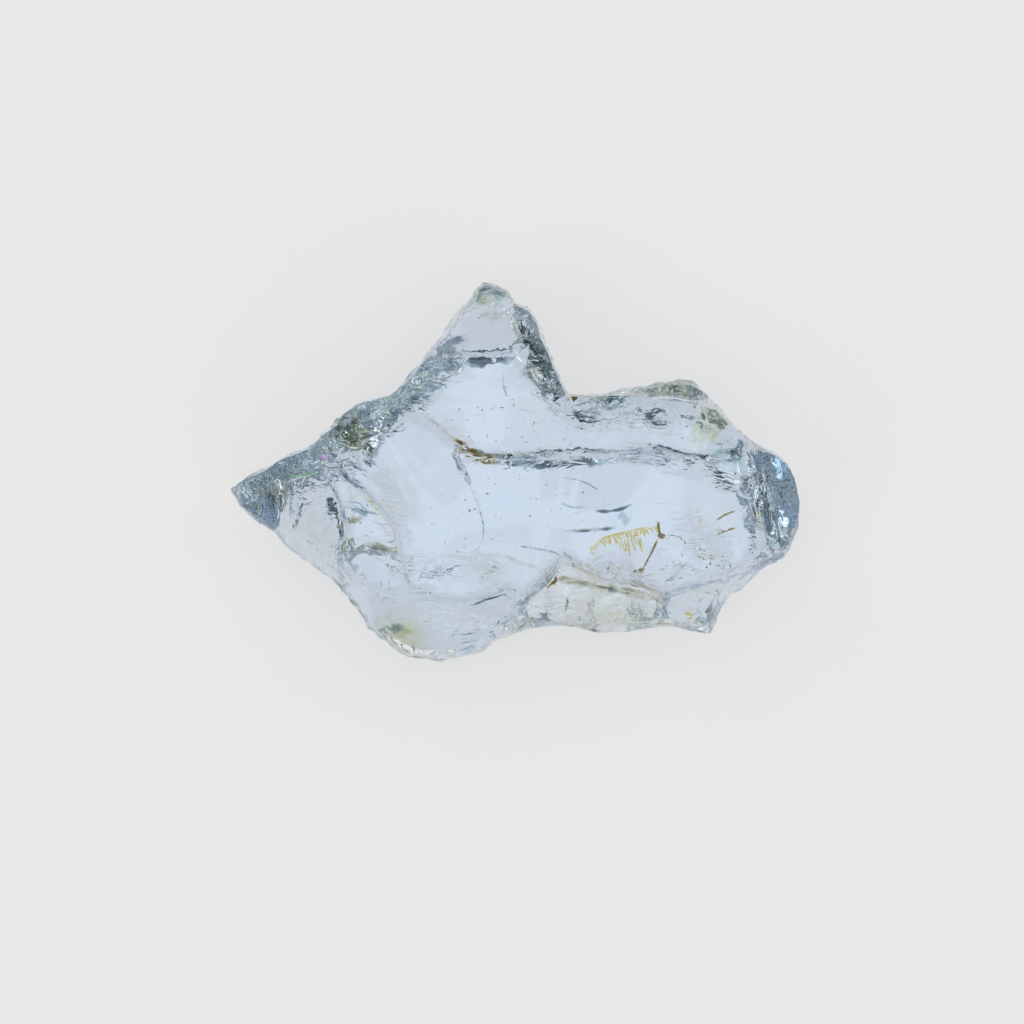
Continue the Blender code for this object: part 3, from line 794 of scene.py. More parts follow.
goldFilms = {
    "arcStain": (3.2, 0.05, 1.30,
        ((-4.14, -0.38), (-3.77, -0.65), (-3.35, -0.97), (-3.06, -1.31), (-2.90, -1.81),
         (-2.84, -2.31))),
    "cornerFleck": (2.4, 0.06, 1.17, ((4.43, -3.56), (4.59, -3.61), (4.72, -3.64))),
    "peakFleck": (2.4, 0.10, 1.30, ((-0.94, 4.46), (-0.78, 4.43), (-0.62, 4.46))),
    "facetGold": (2.9, 0.29, 0.20, ((4.59, 0.75), (4.96, 0.67), (5.33, 0.60), (5.65, 0.60))),
    "flankGold": (2.8, 0.09, 0.21, ((-3.48, 0.73), (-3.29, 0.44), (-3.11, 0.07), (-3.00, -0.28))),
    "lowGold": (2.5, 0.35, 0.18, ((-4.67, -2.47), (-4.51, -2.74), (-4.35, -3.06))),
    "cornerGold": (2.2, 0.29, 0.21, ((3.98, -3.00), (4.38, -3.32), (4.78, -3.64))),
}

strawFilms = {
    "pearlUpper": (2.2, 1.22, 0.42,
        ((-3.35, 0.49), (-3.08, -0.09), (-2.82, -0.73), (-2.61, -1.47))),
    "midHaze": (1.2, 1.06, 0.50, ((2.00, -2.05), (2.58, -2.16), (3.21, -2.16))),
    "rightHaze": (2.2, 1.32, 0.45, ((4.17, -2.26), (4.64, -2.66), (4.91, -3.19))),
    "lobeHaze": (1.8, 1.22, 0.50, ((-3.77, -3.58), (-3.03, -3.98), (-1.97, -4.25))),
    "tipHaze": (2.0, 1.32, 0.40, ((-5.67, -0.81), (-5.20, -1.47), (-4.88, -2.26))),
    "ledgeHaze": (1.2, 1.43, 0.55, ((0.81, -3.45), (2.26, -3.48), (3.72, -3.53))),
    "ledgeHazeB": (1.0, 0.79, 0.40, ((0.67, -3.90), (2.26, -3.80), (3.85, -3.85))),
    "peakHaze": (1.8, 0.95, 0.70, ((-0.97, 4.14), (-0.60, 4.35), (-0.17, 4.19))),
}

# Faint pink sheets: a painted sheen, standing in for the rainbow sheen of thin cracks.
iridescentSheenFilms = {
    "sheenRose": (1.3, 0.69, 0.80, ((2.16, -2.21), (2.58, -2.29), (3.16, -2.21))),
    "sheenLeft": (2.4, 0.53, 0.60, ((-3.35, -1.20), (-3.08, -1.47), (-2.71, -1.63))),
    "sheenTip": (1.8, 0.37, 0.70, ((-5.73, -1.57), (-5.38, -1.76), (-5.04, -1.73))),
    "sheenRight": (2.6, 0.26, 0.60, ((4.06, -1.31), (4.48, -1.31), (4.91, -1.36))),
    "sheenSeam": (3.0, 0.21, 0.90, ((0.62, 0.49), (0.94, 0.22), (1.10, 0.01))),
}

# Teal sheets that darken and tint the bands, the rim and the cap: painted shade, standing in for
# the dark where light is turned away inside the stone.
bandShadeFilms = {
    "bandFlank": (2.9, 0.63, 1.00,
        ((-5.09, 0.17), (-4.48, 0.70), (-3.77, 1.34), (-3.08, 2.02), (-2.50, 2.66),
         (-2.08, 3.24))),
    "bandTip": (2.3, 0.63, 0.70, ((-7.26, -0.30), (-6.68, -0.09), (-5.94, 0.07), (-5.20, 0.22))),
    "bandTipLow": (2.0, 0.53, 0.60, ((-6.94, -0.67), (-6.47, -0.78), (-6.10, -0.62))),
    "bandPeak": (2.9, 0.37, 0.80, ((0.41, 3.69), (0.83, 2.82), (1.10, 2.10))),
    "bandEnd": (2.9, 0.69, 0.40, ((6.18, 0.91), (6.60, 0.12), (6.81, -0.81), (6.60, -1.87))),
    "bandEndUpper": (3.2, 0.63, 0.80, ((4.91, 0.60), (5.49, 0.49), (6.07, 0.33))),
    "bandUpper": (3.1, 0.42, 0.50, ((1.73, 1.76), (2.79, 1.87), (3.85, 1.76), (4.64, 1.49))),
    "bandLobe": (1.9, 0.48, 1.20,
        ((-4.35, -3.64), (-3.82, -4.27), (-3.29, -4.70), (-2.37, -4.96), (-1.44, -4.91),
         (-0.75, -4.46))),
    "capVeil": (2.0, 0.74, 1.20, ((-1.28, 4.25), (-0.75, 4.62), (-0.17, 4.25))),
    "bandEndLow": (2.2, 0.42, 0.60, ((5.97, -2.26), (6.36, -1.87), (6.63, -1.47))),
    "bandRim": (1.4, 0.45, 1.20,
        ((-6.68, -0.99), (-6.07, -1.60), (-5.41, -2.21), (-4.83, -2.79), (-4.35, -3.48))),
}

mossFilms = {
    "lobeGold": (1.9, 0.95, 0.90,
        ((-3.82, -3.80), (-3.40, -4.06), (-2.92, -4.22), (-2.29, -4.33))),
    "facet": (2.4, 0.95, 0.70, ((4.70, 1.44), (5.09, 1.18), (5.44, 0.91))),
}

# How crisp a stain's edge is, then what it lets through where it is thin and thick.
# The dark blue-grey and teal sheets paint shade, and the pink ones paint a sheen.
filmColours = {
    "slate_shade": (1.3, (0.50, 0.61, 0.66, 1.0), (0.07, 0.12, 0.15, 1.0)),
    "olive": (1.2, (0.66, 0.66, 0.50, 1.0), (0.20, 0.22, 0.12, 1.0)),
    "teal_shade": (0.9, (0.80, 0.90, 0.90, 1.0), (0.38, 0.55, 0.57, 1.0)),
    "brown": (1.5, (0.82, 0.71, 0.42, 1.0), (0.22, 0.135, 0.03, 1.0)),
    "gold": (1.7, (0.94, 0.84, 0.48, 1.0), (0.84, 0.64, 0.14, 1.0)),
    "straw": (1.0, (0.93, 0.93, 0.85, 1.0), (0.82, 0.82, 0.68, 1.0)),
    "rose_sheen": (0.8, (0.97, 0.92, 0.98, 1.0), (0.90, 0.78, 0.92, 1.0)),
    "moss": (0.9, (0.92, 0.92, 0.72, 1.0), (0.66, 0.64, 0.34, 1.0)),
}

# Fine hair lines: stain (the dark blue-grey ones are painted shade), count, height, length,
# width, strength, turn (None follows the line), how loosely they keep to it, spread, then the line.
hairRows = (
    ("slate_shade", 50, 3.3, 0.32, 0.037, 0.9, -25, 14, 0.21,
        ((-2.50, 1.92), (-2.92, 1.63), (-3.24, 1.34), (-3.45, 1.07))),
    ("slate_shade", 44, 3.2, 0.29, 0.034, 0.8, -32, 16, 0.24,
        ((-3.72, 0.38), (-4.09, 0.17), (-4.46, 0.01), (-4.78, 0.07), (-5.09, -0.09))),
    ("slate_shade", 8, 2.8, 0.79, 0.034, 1.0, None, 5, 0.08,
        ((-4.78, -0.52), (-4.59, -0.89), (-4.43, -1.31), (-4.40, -1.84))),
    ("slate_shade", 6, 3.1, 0.63, 0.032, 0.8, None, 5, 0.08,
        ((-4.19, -0.89), (-3.82, -1.02), (-3.40, -1.15), (-3.08, -1.23))),
    ("olive", 16, 3.1, 0.53, 0.040, 0.9, None, 10, 0.13,
        ((-4.30, -2.26), (-3.98, -1.94), (-3.45, -2.02), (-2.84, -2.10))),
    ("slate_shade", 9, 3.4, 0.50, 0.026, 0.8, 26, 4, 0.16,
        ((-2.39, -2.74), (-1.92, -2.61), (-1.49, -2.45))),
    ("slate_shade", 22, 3.2, 0.37, 0.024, 0.3, 70, 26, 0.37,
        ((-2.82, -3.21), (-2.39, -3.64), (-2.02, -4.22))),
    ("slate_shade", 16, 3.3, 0.79, 0.026, 0.7, None, 4, 0.11,
        ((-0.38, 0.33), (0.81, 0.30), (2.00, 0.41), (3.32, 0.38))),
    ("slate_shade", 16, 3.5, 0.63, 0.040, 0.9, None, 6, 0.13,
        ((3.64, 0.67), (4.22, 0.41), (4.91, 0.30))),
    ("slate_shade", 9, 3.5, 0.63, 0.029, 0.8, None, 4, 0.21,
        ((4.91, 0.22), (5.38, 0.01), (5.91, -0.30))),
    ("slate_shade", 34, 3.3, 0.34, 0.032, 0.7, -12, 25, 0.24,
        ((1.42, 1.60), (2.26, 1.71), (3.32, 1.49))),
    ("slate_shade", 10, 3.4, 0.24, 0.032, 0.8, -30, 50, 0.16,
        ((3.32, 1.63), (3.64, 1.39), (4.06, 1.23))),
    ("slate_shade", 12, 3.3, 0.37, 0.029, 0.6, -20, 20, 0.21,
        ((5.33, 0.65), (5.70, 0.52), (6.02, 0.38))),
    ("slate_shade", 12, 2.9, 0.24, 0.032, 0.7, 60, 30, 0.16,
        ((-1.65, 3.35), (-1.49, 3.72), (-1.28, 4.03))),
    ("slate_shade", 36, 3.0, 0.34, 0.050, 1.1, -65, 25, 0.16,
        ((0.20, 3.82), (0.46, 3.08), (0.81, 2.39), (1.10, 1.92))),
    ("slate_shade", 8, 2.7, 0.69, 0.037, 1.0, None, 3, 0.08,
        ((-1.39, 2.98), (-0.78, 2.98), (-0.07, 3.13))),
    ("slate_shade", 28, 2.9, 0.53, 0.042, 0.8, -80, 14, 0.29,
        ((6.18, 0.52), (6.39, -0.20), (6.55, -0.99), (6.60, -1.87))),
    ("slate_shade", 10, 2.4, 0.48, 0.029, 0.7, None, 8, 0.29,
        ((-6.63, 0.17), (-6.20, -0.15), (-5.99, -0.62), (-6.15, -1.15))),
    ("slate_shade", 44, 1.8, 0.32, 0.040, 0.9, None, 12, 0.19,
        ((-6.84, -1.15), (-5.94, -1.87), (-5.09, -2.74), (-4.48, -3.48))),
    ("olive", 22, 1.7, 0.24, 0.032, 0.7, None, 14, 0.08,
        ((0.81, -2.74), (2.00, -2.90), (3.85, -3.24))),
    ("slate_shade", 14, 1.6, 0.26, 0.037, 0.9, 60, 18, 0.13,
        ((-0.07, -4.27), (0.09, -4.01), (0.20, -3.69))),
    ("slate_shade", 24, 1.9, 0.21, 0.032, 0.7, 40, 50, 0.21,
        ((4.59, -3.80), (4.91, -3.96), (5.17, -4.22))),
    ("gold", 24, 3.4, 0.09, 0.021, 0.6, None, 60, 0.79,
        ((-2.24, 2.02), (-0.38, 1.34), (1.47, 0.91))),
    ("brown", 14, 3.0, 0.09, 0.021, 0.5, None, 60, 0.69,
        ((-1.18, -0.67), (1.20, -0.81), (3.58, -0.41))),
    ("gold", 8, 3.1, 0.19, 0.029, 0.9, 30, 40, 0.32,
        ((4.70, -1.07), (5.22, -1.87), (5.60, -2.66))),
    ("slate_shade", 14, 1.4, 0.58, 0.034, 0.8, None, 5, 0.08,
        ((-3.45, -4.64), (-2.92, -4.83), (-1.97, -4.93), (-1.07, -4.78))),
    ("slate_shade", 4, 1.5, 0.63, 0.032, 0.6, None, 4, 0.05,
        ((2.05, -3.21), (2.10, -3.64), (2.24, -4.06))),
    ("olive", 8, 1.5, 0.63, 0.048, 1.0, None, 4, 0.05,
        ((3.85, -3.32), (3.88, -3.69), (3.82, -4.11))),
    ("brown", 9, 3.3, 0.48, 0.029, 0.9, None, 5, 0.07,
        ((-2.34, 1.34), (-1.79, 0.97), (-1.18, 0.54), (-0.38, 0.28))),
    ("slate_shade", 24, 3.3, 0.32, 0.034, 0.7, 15, 40, 0.37,
        ((3.85, -2.26), (4.64, -2.79), (5.04, -3.32))),
    ("slate_shade", 34, 3.3, 0.85, 0.024, 0.3, -6, 50, 1.59,
        ((-2.24, -0.15), (0.15, -0.67), (3.32, -0.67), (4.91, -1.73))),
    ("slate_shade", 20, 3.3, 0.63, 0.024, 0.3, -10, 60, 1.06,
        ((-0.91, 2.50), (-0.38, 1.44), (2.26, 0.91))),
    ("slate_shade", 24, 2.6, 0.69, 0.029, 0.5, -55, 30, 0.79,
        ((-5.41, -1.20), (-4.35, -2.53), (-3.03, -3.58))),
    ("slate_shade", 8, 0.9, 0.63, 0.034, 0.6, None, 8, 0.13, ((3.06, 2.08), (3.85, 2.24), (4.91, 1.92))),
)

# Stains like a comb: height, teeth, tooth length and width, turn, stem width, line.
combRows = (
    (3.0, 40, 0.24, 0.034, -68, 0.058,
        ((1.94, -1.89), (2.26, -1.71), (2.63, -1.57), (3.06, -1.47), (3.45, -1.39),
         (3.74, -1.31))),
    (3.0, 8, 0.53, 0.040, -74, 0.037,
        ((2.69, -1.68), (2.90, -1.63), (3.16, -1.60), (3.32, -1.60))),
)


# Points at an even spacing on a smooth curve through the given ones
def curveThrough(points, spacing):
    spots = [Vector(point) for point in points]
    spots = [2 * spots[0] - spots[1]] + spots + [2 * spots[-1] - spots[-2]]
    dense = []
    for a, b, c, d in zip(spots, spots[1:], spots[2:], spots[3:]):
        for step in range(12):
            t = step / 12.0
            bend = (2 * a - 5 * b + 4 * c - d) * t * t + (3 * b - a - 3 * c + d) * t ** 3
            dense.append(0.5 * (2 * b + (c - a) * t + bend))
    dense.append(spots[-2])
    lengths = np.cumsum([0.0] + [(q - p).length for p, q in zip(dense, dense[1:])])
    count = max(6, int(lengths[-1] / spacing))
    wanted = np.linspace(0.0, lengths[-1], count)
    xs = np.interp(wanted, lengths, [p.x for p in dense])
    ys = np.interp(wanted, lengths, [p.y for p in dense])
    return [Vector((x, y)) for x, y in zip(xs, ys)]


# A search tree over the stone's skin, in millimetres
def skinTree(body):
    data = body.data
    points = [vertex.co / mm for vertex in data.vertices]
    return BVHTree.FromPolygons(points, [tuple(face.vertices) for face in data.polygons])


# True where the spot is at least that deep in the stone
def insideStone(spot, skin, depth=0.06):
    nearest, normal, _, _ = skin.find_nearest(spot)
    return (spot - nearest).dot(normal) < -depth


# The point, or where it lies too near the skin or outside, one at that depth below it
def tuckedIn(point, skin, depth):
    for _ in range(3):
        nearest, normal, _, _ = skin.find_nearest(point)
        if (point - nearest).dot(normal) < -depth:
            break
        point = nearest - normal * (depth * 1.05)
    return point


# A thin closed gap: two facing sheets that meet at their rim, facing into the gap
def addPocket(mesh, grid, normals, opening, covers=None):
    rows, columns = len(grid), len(grid[0])
    layer = mesh.verts.layers.float.get("cover")
    sides = []
    for sign in (1.0, -1.0):
        sheet = []
        for i in range(rows):
            line = []
            for j in range(columns):
                inU = min(1.0, 2.0 * math.sin(math.pi * i / (rows - 1)))
                inV = math.sin(math.pi * j / (columns - 1))
                gap = opening * (0.12 + 0.88 * inU * inV)
                made = mesh.verts.new(grid[i][j] + normals[i] * (sign * gap / 2.0))
                if covers:
                    made[layer] = covers[i][j]
                line.append(made)
            sheet.append(line)
        sides.append(sheet)
    upper, lower = sides
    for i in range(rows - 1):
        for j in range(columns - 1):
            a, b, c, d = (i, j), (i, j + 1), (i + 1, j + 1), (i + 1, j)
            mesh.faces.new([upper[p][q] for p, q in (a, b, c, d)])
            mesh.faces.new([lower[p][q] for p, q in (a, d, c, b)])
    rim = [(i, 0) for i in range(rows)] + [(rows - 1, j) for j in range(1, columns)]
    rim += [(i, columns - 1) for i in range(rows - 2, -1, -1)]
    rim += [(0, j) for j in range(columns - 2, 0, -1)]
    for (i, j), (k, l) in zip(rim, rim[1:] + rim[:1]):
        mesh.faces.new((upper[i][j], upper[k][l], lower[k][l], lower[i][j]))


# Rows of points on a waving, ragged strip along the line, each row's normal, and how far the skin
# let each point stay in its place.
def sheetGrid(skin, depth, width, line, dip, seed, wave, across):
    path = curveThrough(line, sheets["step"])
    last = len(path) - 1
    lean = math.radians(dip)
    shift = Vector((seed * 3.7, seed * 1.9, seed * 5.3))
    grid, normals, kept = [], [], []
    for i, spot in enumerate(path):
        before, after = path[max(i - 1, 0)], path[min(i + 1, last)]
        along = (after - before).normalized()
        side = Vector((along.y, -along.x, 0.0))
        fall = side * math.cos(lean) + Vector((0.0, 0.0, -math.sin(lean)))
        facing = Vector((along.x, along.y, 0.0)).cross(fall).normalized()
        taper = min(1.0, 3.2 * max(0.0, math.sin(math.pi * i / last)) ** 0.8 + 0.05)
        swing = noise.noise(Vector((i * sheets["raggedStep"], seed * 7.1, 0.0)))
        ragged = 0.95 + sheets["ragged"] * swing
        reach = width / math.cos(lean) * taper * max(0.3, ragged)
        row, stays = [], []
        for j in range(across):
            v = j / (across - 1) - 0.5
            point = Vector((spot.x, spot.y, depth)) + fall * (v * reach)
            ripple = noise.noise((point + shift) / sheets["waveGrain"])
            point = point + facing * (ripple * wave * width * taper)
            row.append(tuckedIn(point, skin, sheets["skinDepth"]))
            stays.append(max(0.0, 1.0 - (row[-1] - point).length / sheets["letGo"]))
        grid.append(row)
        normals.append(facing)
        kept.append(stays)
    return grid, normals, kept


def addCrack(mesh, skin, depth, width, line, seed):
    dip = sheets["gapDip"] + sheets["gapTwist"] * math.sin(seed * 2.4)
    wave, across = sheets["gapWave"], sheets["gapPoints"]
    grid, normals, _ = sheetGrid(skin, depth, width, line, dip, seed, wave, across)
    addPocket(mesh, grid, normals, max(sheets["gapLeast"], sheets["gapShare"] * width))


# The height nearest the wanted one at which the line lies inside the stone
def fittingDepth(skin, depth, line):
    best, most = depth, -1
    for change in sheets["tries"]:
        spots = [Vector((x, y, depth + change)) for x, y in line]
        inside = sum(insideStone(spot, skin, 0.12) for spot in spots)
        if inside > most and depth + change > sheets["lowest"]:
            best, most = depth + change, inside
    return best


def variation(manner, along, side, seed):
    middle, swing, grainAlong, grainAcross = manner
    return middle + swing * noise.noise(Vector((along / grainAlong, side / grainAcross, seed)))


# A tinted sheet whose cover fades at its edges and breaks up in streaks: a stain, or
# painted shade or a painted sheen
def addFilm(mesh, skin, depth, width, strength, line, seed):
    spread = width * sheets["filmSpread"]
    across = max(5, int(spread / sheets["filmPoint"]) | 1)
    dip = sheets["filmDip"] * math.sin(seed * 1.7)
    depth = fittingDepth(skin, depth, line)
    wave = sheets["filmWave"]
    grid, normals, kept = sheetGrid(skin, depth, spread, line, dip, seed, wave, across)
    last = len(grid) - 1
    covers = []
    for i, row in enumerate(grid):
        ends = min(1.0, 1.5 * math.sin(math.pi * i / last))
        cover = []
        for j in range(across):
            v = 2.0 * j / (across - 1) - 1.0
            along, side = i * sheets["step"], v * spread / 2.0
            streak = variation(filmStreaks, along, side, seed * 3.1)
            patch = variation(filmPatches, along, side, seed * 1.3)
            edge = max(0.0, 1.0 - v * v) * kept[i][j]
            cover.append(max(0.0, strength * edge * ends * streak * patch))
        covers.append(cover)
    addPocket(mesh, grid, normals, sheets["filmOpening"], covers)


strokeLook = {
    "spacing": 0.05,
    "lengths": (0.35, 1.25),  # shortest and longest, as shares of the length asked for
    "bow": 0.3,
    "toothSpacing": 0.02,
    "toothLengths": (0.3, 1.2),
    "toothLoose": 5.0,
    "toothMiddle": 0.55,
}


# Short, slightly bent strokes scattered along a line
def strokes(draw, count, length, manner, line):
    turn, loose, spread = manner
    path, bow = curveThrough(line, strokeLook["spacing"]), strokeLook["bow"]
    for _ in range(count):
        here = draw.randrange(len(path) - 1)
        along = path[here + 1] - path[here]
        heading = math.atan2(along.y, along.x) if turn is None else math.radians(turn)
        heading += math.radians(draw.gauss(0.0, loose / 2.0))
        ahead = Vector((math.cos(heading), math.sin(heading)))
        aside = Vector((-ahead.y, ahead.x))
        reach = length * draw.uniform(*strokeLook["lengths"]) / 2.0
        middle = path[here] + Vector((draw.gauss(0.0, spread / 2.0), draw.gauss(0.0, spread / 2.0)))
        bend = aside * (reach * draw.uniform(-bow, bow))
        yield [middle - ahead * reach, middle + bend, middle + ahead * reach]


# The teeth of a comb that hangs from a line
def teeth(draw, count, length, turn, line):
    path = curveThrough(line, strokeLook["toothSpacing"])
    for index in range(count):
        start = path[int((index + 0.5) / count * (len(path) - 1))]
        heading = math.radians(turn + draw.gauss(0.0, strokeLook["toothLoose"]))
        ahead = Vector((math.cos(heading), math.sin(heading)))
        reach = length * draw.uniform(*strokeLook["toothLengths"])
        middle = start + ahead * (strokeLook["toothMiddle"] * reach)
        yield [start, middle, start + ahead * reach]


# The skin of an open crack, where light meets air inside the stone
def gapMaterial():
    material, tree, shader, _ = newMaterial("open_crack")
    makeClear(shader, berylIor, gapLook["roughness"])
    iron = placeGroup(tree, ironStain, **gapLook["iron"])
    faint = combine(tree, "MULTIPLY", iron.outputs["Share"], gapLook["ironShare"])
    colour = mixColours(tree, faint, white, iron.outputs["Color"])
    tree.links.new(colour, shader.inputs["Base Color"])
    hackle = placeGroup(tree, fineHackle, **gapLook["hackle"])
    addBump(tree, shader, hackle.outputs[0], *gapLook["hackleRelief"])
    return material


# A stain, painted shade or a painted sheen that light passes straight through, thicker
# where the cover is
def filmMaterial(name, colours):
    material, tree, shader, _ = newMaterial(name)
    makeClear(shader, 1.0, 0.0)
    cover = addNode(tree, "ShaderNodeAttribute", attribute_name="cover").outputs["Fac"]
    grain = noiseAt(tree, objectPlace(tree), *filmLook["grain"])
    less = combine(tree, "MULTIPLY", grain, filmLook["grainShare"])
    more = combine(tree, "MULTIPLY", cover, filmLook["coverGain"])
    above = combine(tree, "SUBTRACT", more, less)
    crisp, thin, thick = colours
    share = combine(tree, "MULTIPLY", above, crisp, clamp=True)
    faint = combine(tree, "MULTIPLY", share, 2.0, clamp=True)
    full = combine(tree, "SUBTRACT", combine(tree, "MULTIPLY", share, 2.0), 1.0, clamp=True)
    tint = mixColours(tree, faint, white, thin)
    tree.links.new(mixColours(tree, full, tint, thick), shader.inputs["Base Color"])
    return material


# The cracks come in the table's order, because each one's place in it seeds its waves
def buildCracks(skin):
    mesh = bmesh.new()
    for seed, (depth, width, line) in enumerate(clearCracks.values()):
        addCrack(mesh, skin, depth, width, line, seed + 1)
    finishPiece("open_cracks", mesh, gapMaterial())


filmTables = {
    "slate_shade": darkShadeFilms, "olive": oliveFilms, "brown": brownFilms, "gold": goldFilms,
    "straw": strawFilms, "rose_sheen": iridescentSheenFilms, "teal_shade": bandShadeFilms, "moss": mossFilms,
}


def addHairs(mesh, skin, draw, kind):
    vary = sheets["hairHeight"]
    for stain, count, height, length, width, strength, turn, loose, spread, line in hairRows:
        if stain == kind:
            for hair in strokes(draw, count, length, (turn, loose, spread), line):
                depth = height + draw.uniform(-vary, vary)
                addFilm(mesh, skin, depth, width, strength, hair, draw.random() * 90.0)


def addCombs(mesh, skin, draw):
    for depth, count, length, width, turn, stem, line in combRows:
        addFilm(mesh, skin, depth, stem, 1.0, line, 3)
        for tooth in teeth(draw, count, length, turn, line):
            addFilm(mesh, skin, depth, width, 1.1, tooth, draw.random() * 90.0)


def buildFilms(skin):
    draw = random.Random(sheets["seed"])
    for start, (kind, rows) in enumerate(filmTables.items()):
        mesh = bmesh.new()
        mesh.verts.layers.float.new("cover")
        for seed, (depth, width, strength, line) in enumerate(rows.values()):
            addFilm(mesh, skin, depth, width, strength, line, seed + 1 + 60 * start)
        addHairs(mesh, skin, draw, kind)
        if kind == "gold":
            addCombs(mesh, skin, draw)
        made = filmMaterial(kind + "_film", filmColours[kind])
        finishPiece(kind + "_films", mesh, made, smooth=False)


# Mirror-like slivers of crack: colour, count, height, length, width, turn (None
# follows the line), how loosely they keep to it, spread, then the line.
glintRows = (
    ("silver", 24, 2.9, 0.71, 0.037, -78, 6, 0.29, ((6.07, 0.33), (6.34, -0.52), (6.60, -1.47))),
    ("silver", 6, 2.6, 0.69, 0.085, -72, 5, 0.08, ((6.89, -1.04), (6.97, -1.42), (6.94, -1.73))),
    ("blue", 4, 3.2, 0.42, 0.095, -80, 6, 0.05, ((6.89, 0.22), (6.92, 0.01))),
    ("silver", 9, 2.4, 0.53, 0.034, None, 6, 0.16,
        ((-6.68, 0.22), (-6.31, 0.01), (-6.07, -0.41), (-6.10, -0.89))),
    ("silver", 80, 3.1, 0.07, 0.037, None, 80, 0.21,
        ((-4.88, 0.65), (-4.19, 1.12), (-3.45, 1.71), (-2.92, 2.18), (-2.37, 2.71))),
    ("silver", 9, 3.0, 0.53, 0.034, None, 8, 0.13, ((-0.01, 3.08), (0.41, 2.71), (0.89, 2.39))),
    ("silver", 40, 2.8, 0.07, 0.040, None, 80, 0.19,
        ((-1.57, 3.56), (-1.18, 4.22), (-0.52, 4.30), (0.28, 3.69))),
    ("silver", 3, 3.0, 0.69, 0.058, None, 3, 0.03,
        ((-4.67, -0.67), (-4.51, -1.04), (-4.43, -1.47))),
    ("silver", 2, 3.3, 0.58, 0.069, None, 3, 0.03, ((-3.56, 1.18), (-3.66, 0.86), (-3.80, 0.60))),
    ("blue", 5, 2.4, 0.13, 0.090, 10, 20, 0.05, ((-5.41, 0.36), (-5.28, 0.38))),
    ("blue", 5, 2.4, 0.21, 0.058, 0, 10, 0.03, ((-4.88, 0.44), (-4.70, 0.46))),
    ("pink", 8, 2.4, 0.13, 0.106, 20, 40, 0.07, ((-4.62, 0.38), (-4.48, 0.44))),
    ("green", 2, 3.3, 0.63, 0.024, 12, 2, 0.02, ((-5.57, -0.01), (-5.30, 0.04), (-5.04, 0.09))),
    ("silver", 10, 3.6, 0.42, 0.034, -25, 12, 0.16, ((-0.38, 0.49), (1.20, 0.44), (2.26, 0.38))),
    ("silver", 7, 3.6, 0.53, 0.034, -22, 8, 0.21, ((4.91, 0.33), (5.38, 0.07), (5.91, -0.25))),
    ("silver", 16, 2.2, 0.11, 0.053, None, 80, 0.21, ((4.64, -3.80), (5.01, -4.11))),
    ("silver", 5, 2.9, 0.58, 0.037, None, 3, 0.04, ((-0.12, -3.72), (0.36, -3.06), (0.83, -2.42))),
)

glints = {
    "seed": 12,
    "tilt": 2.0,  # degrees by which a sliver may miss the light overhead
    "roughness": 0.13,
    "cover": 0.25,  # a sliver lies at least this deep under the skin
    "spacing": 0.04,
    "opening": 0.004,
    "feel": 0.1,  # the skin above is felt for at this distance as well
    "dull": (0.5, 0.55, 0.6, 1.0),
    "dullGrain": 9000.0,
    "dullShare": 0.25,
}

glintColours = {
    "silver": (0.86, 0.90, 0.93, 1.0),
    "blue": (0.42, 0.60, 0.82, 1.0),
    "pink": (0.90, 0.42, 0.90, 1.0),
    "green": (0.35, 0.90, 0.42, 1.0),
}


def glintMaterial(name, colour):
    material, tree, shader, _ = newMaterial(name)
    grain = noiseAt(tree, objectPlace(tree), glints["dullGrain"])
    share = remap(tree, grain, 0.35, 0.65, 0.0, glints["dullShare"])
    mixed = mixColours(tree, share, colour, glints["dull"])
    tree.links.new(mixed, shader.inputs["Base Color"])
    shader.inputs["Metallic"].default_value = 1.0
    shader.inputs["Roughness"].default_value = glints["roughness"]
    return material


# The upward normal of a flat sliver that sends light from straight above back up,
# and the height of the skin over it
def returningNormal(skin, spot):
    down, total, height = Vector((0.0, 0.0, -1.0)), Vector((0.0, 0.0, 0.0)), 0.0
    feel, above = glints["feel"], 9.0
    for dx, dy in ((0.0, 0.0), (feel, 0.0), (-feel, 0.0), (0.0, feel), (0.0, -feel)):
        hit, normal, _, _ = skin.ray_cast(Vector((spot.x + dx, spot.y + dy, above)), down)
        if hit:
            total += normal
            height = max(height, hit.z)
    if total.length < 1.0:
        return None, 0.0
    facing = total.normalized()
    bent = math.sqrt(1.0 - (1.0 - facing.z ** 2) / berylIor ** 2)
    ray = down / berylIor + (facing.z / berylIor - bent) * facing
    return -ray.normalized(), height


# A flat sliver along the stroke, turned to the light and kept where it lies in the stone
def addSliver(mesh, skin, depth, width, stroke, lean):
    middle = stroke[1]
    facing, top = returningNormal(skin, middle)
    if facing is None:
        return
    facing = (facing + lean).normalized()
    depth = min(depth, top - glints["cover"])
    path = curveThrough(stroke, glints["spacing"])
    last = len(path) - 1
    grid = []
    for i, spot in enumerate(path):
        along = (path[min(i + 1, last)] - path[max(i - 1, 0)]).normalized()
        side = Vector((along.y, -along.x))
        reach = width * min(1.0, 0.1 + 1.6 * math.sin(math.pi * i / last))
        row = []
        for share in (-0.5, 0.0, 0.5):
            place = spot + side * (share * reach)
            away = place - middle
            fall = (facing.x * away.x + facing.y * away.y) / facing.z
            row.append(Vector((place.x, place.y, depth - fall)))
        grid.append(row)
    if all(insideStone(point, skin) for point in (grid[0][1], grid[last // 2][1], grid[-1][1])):
        addPocket(mesh, grid, [facing] * len(grid), glints["opening"])


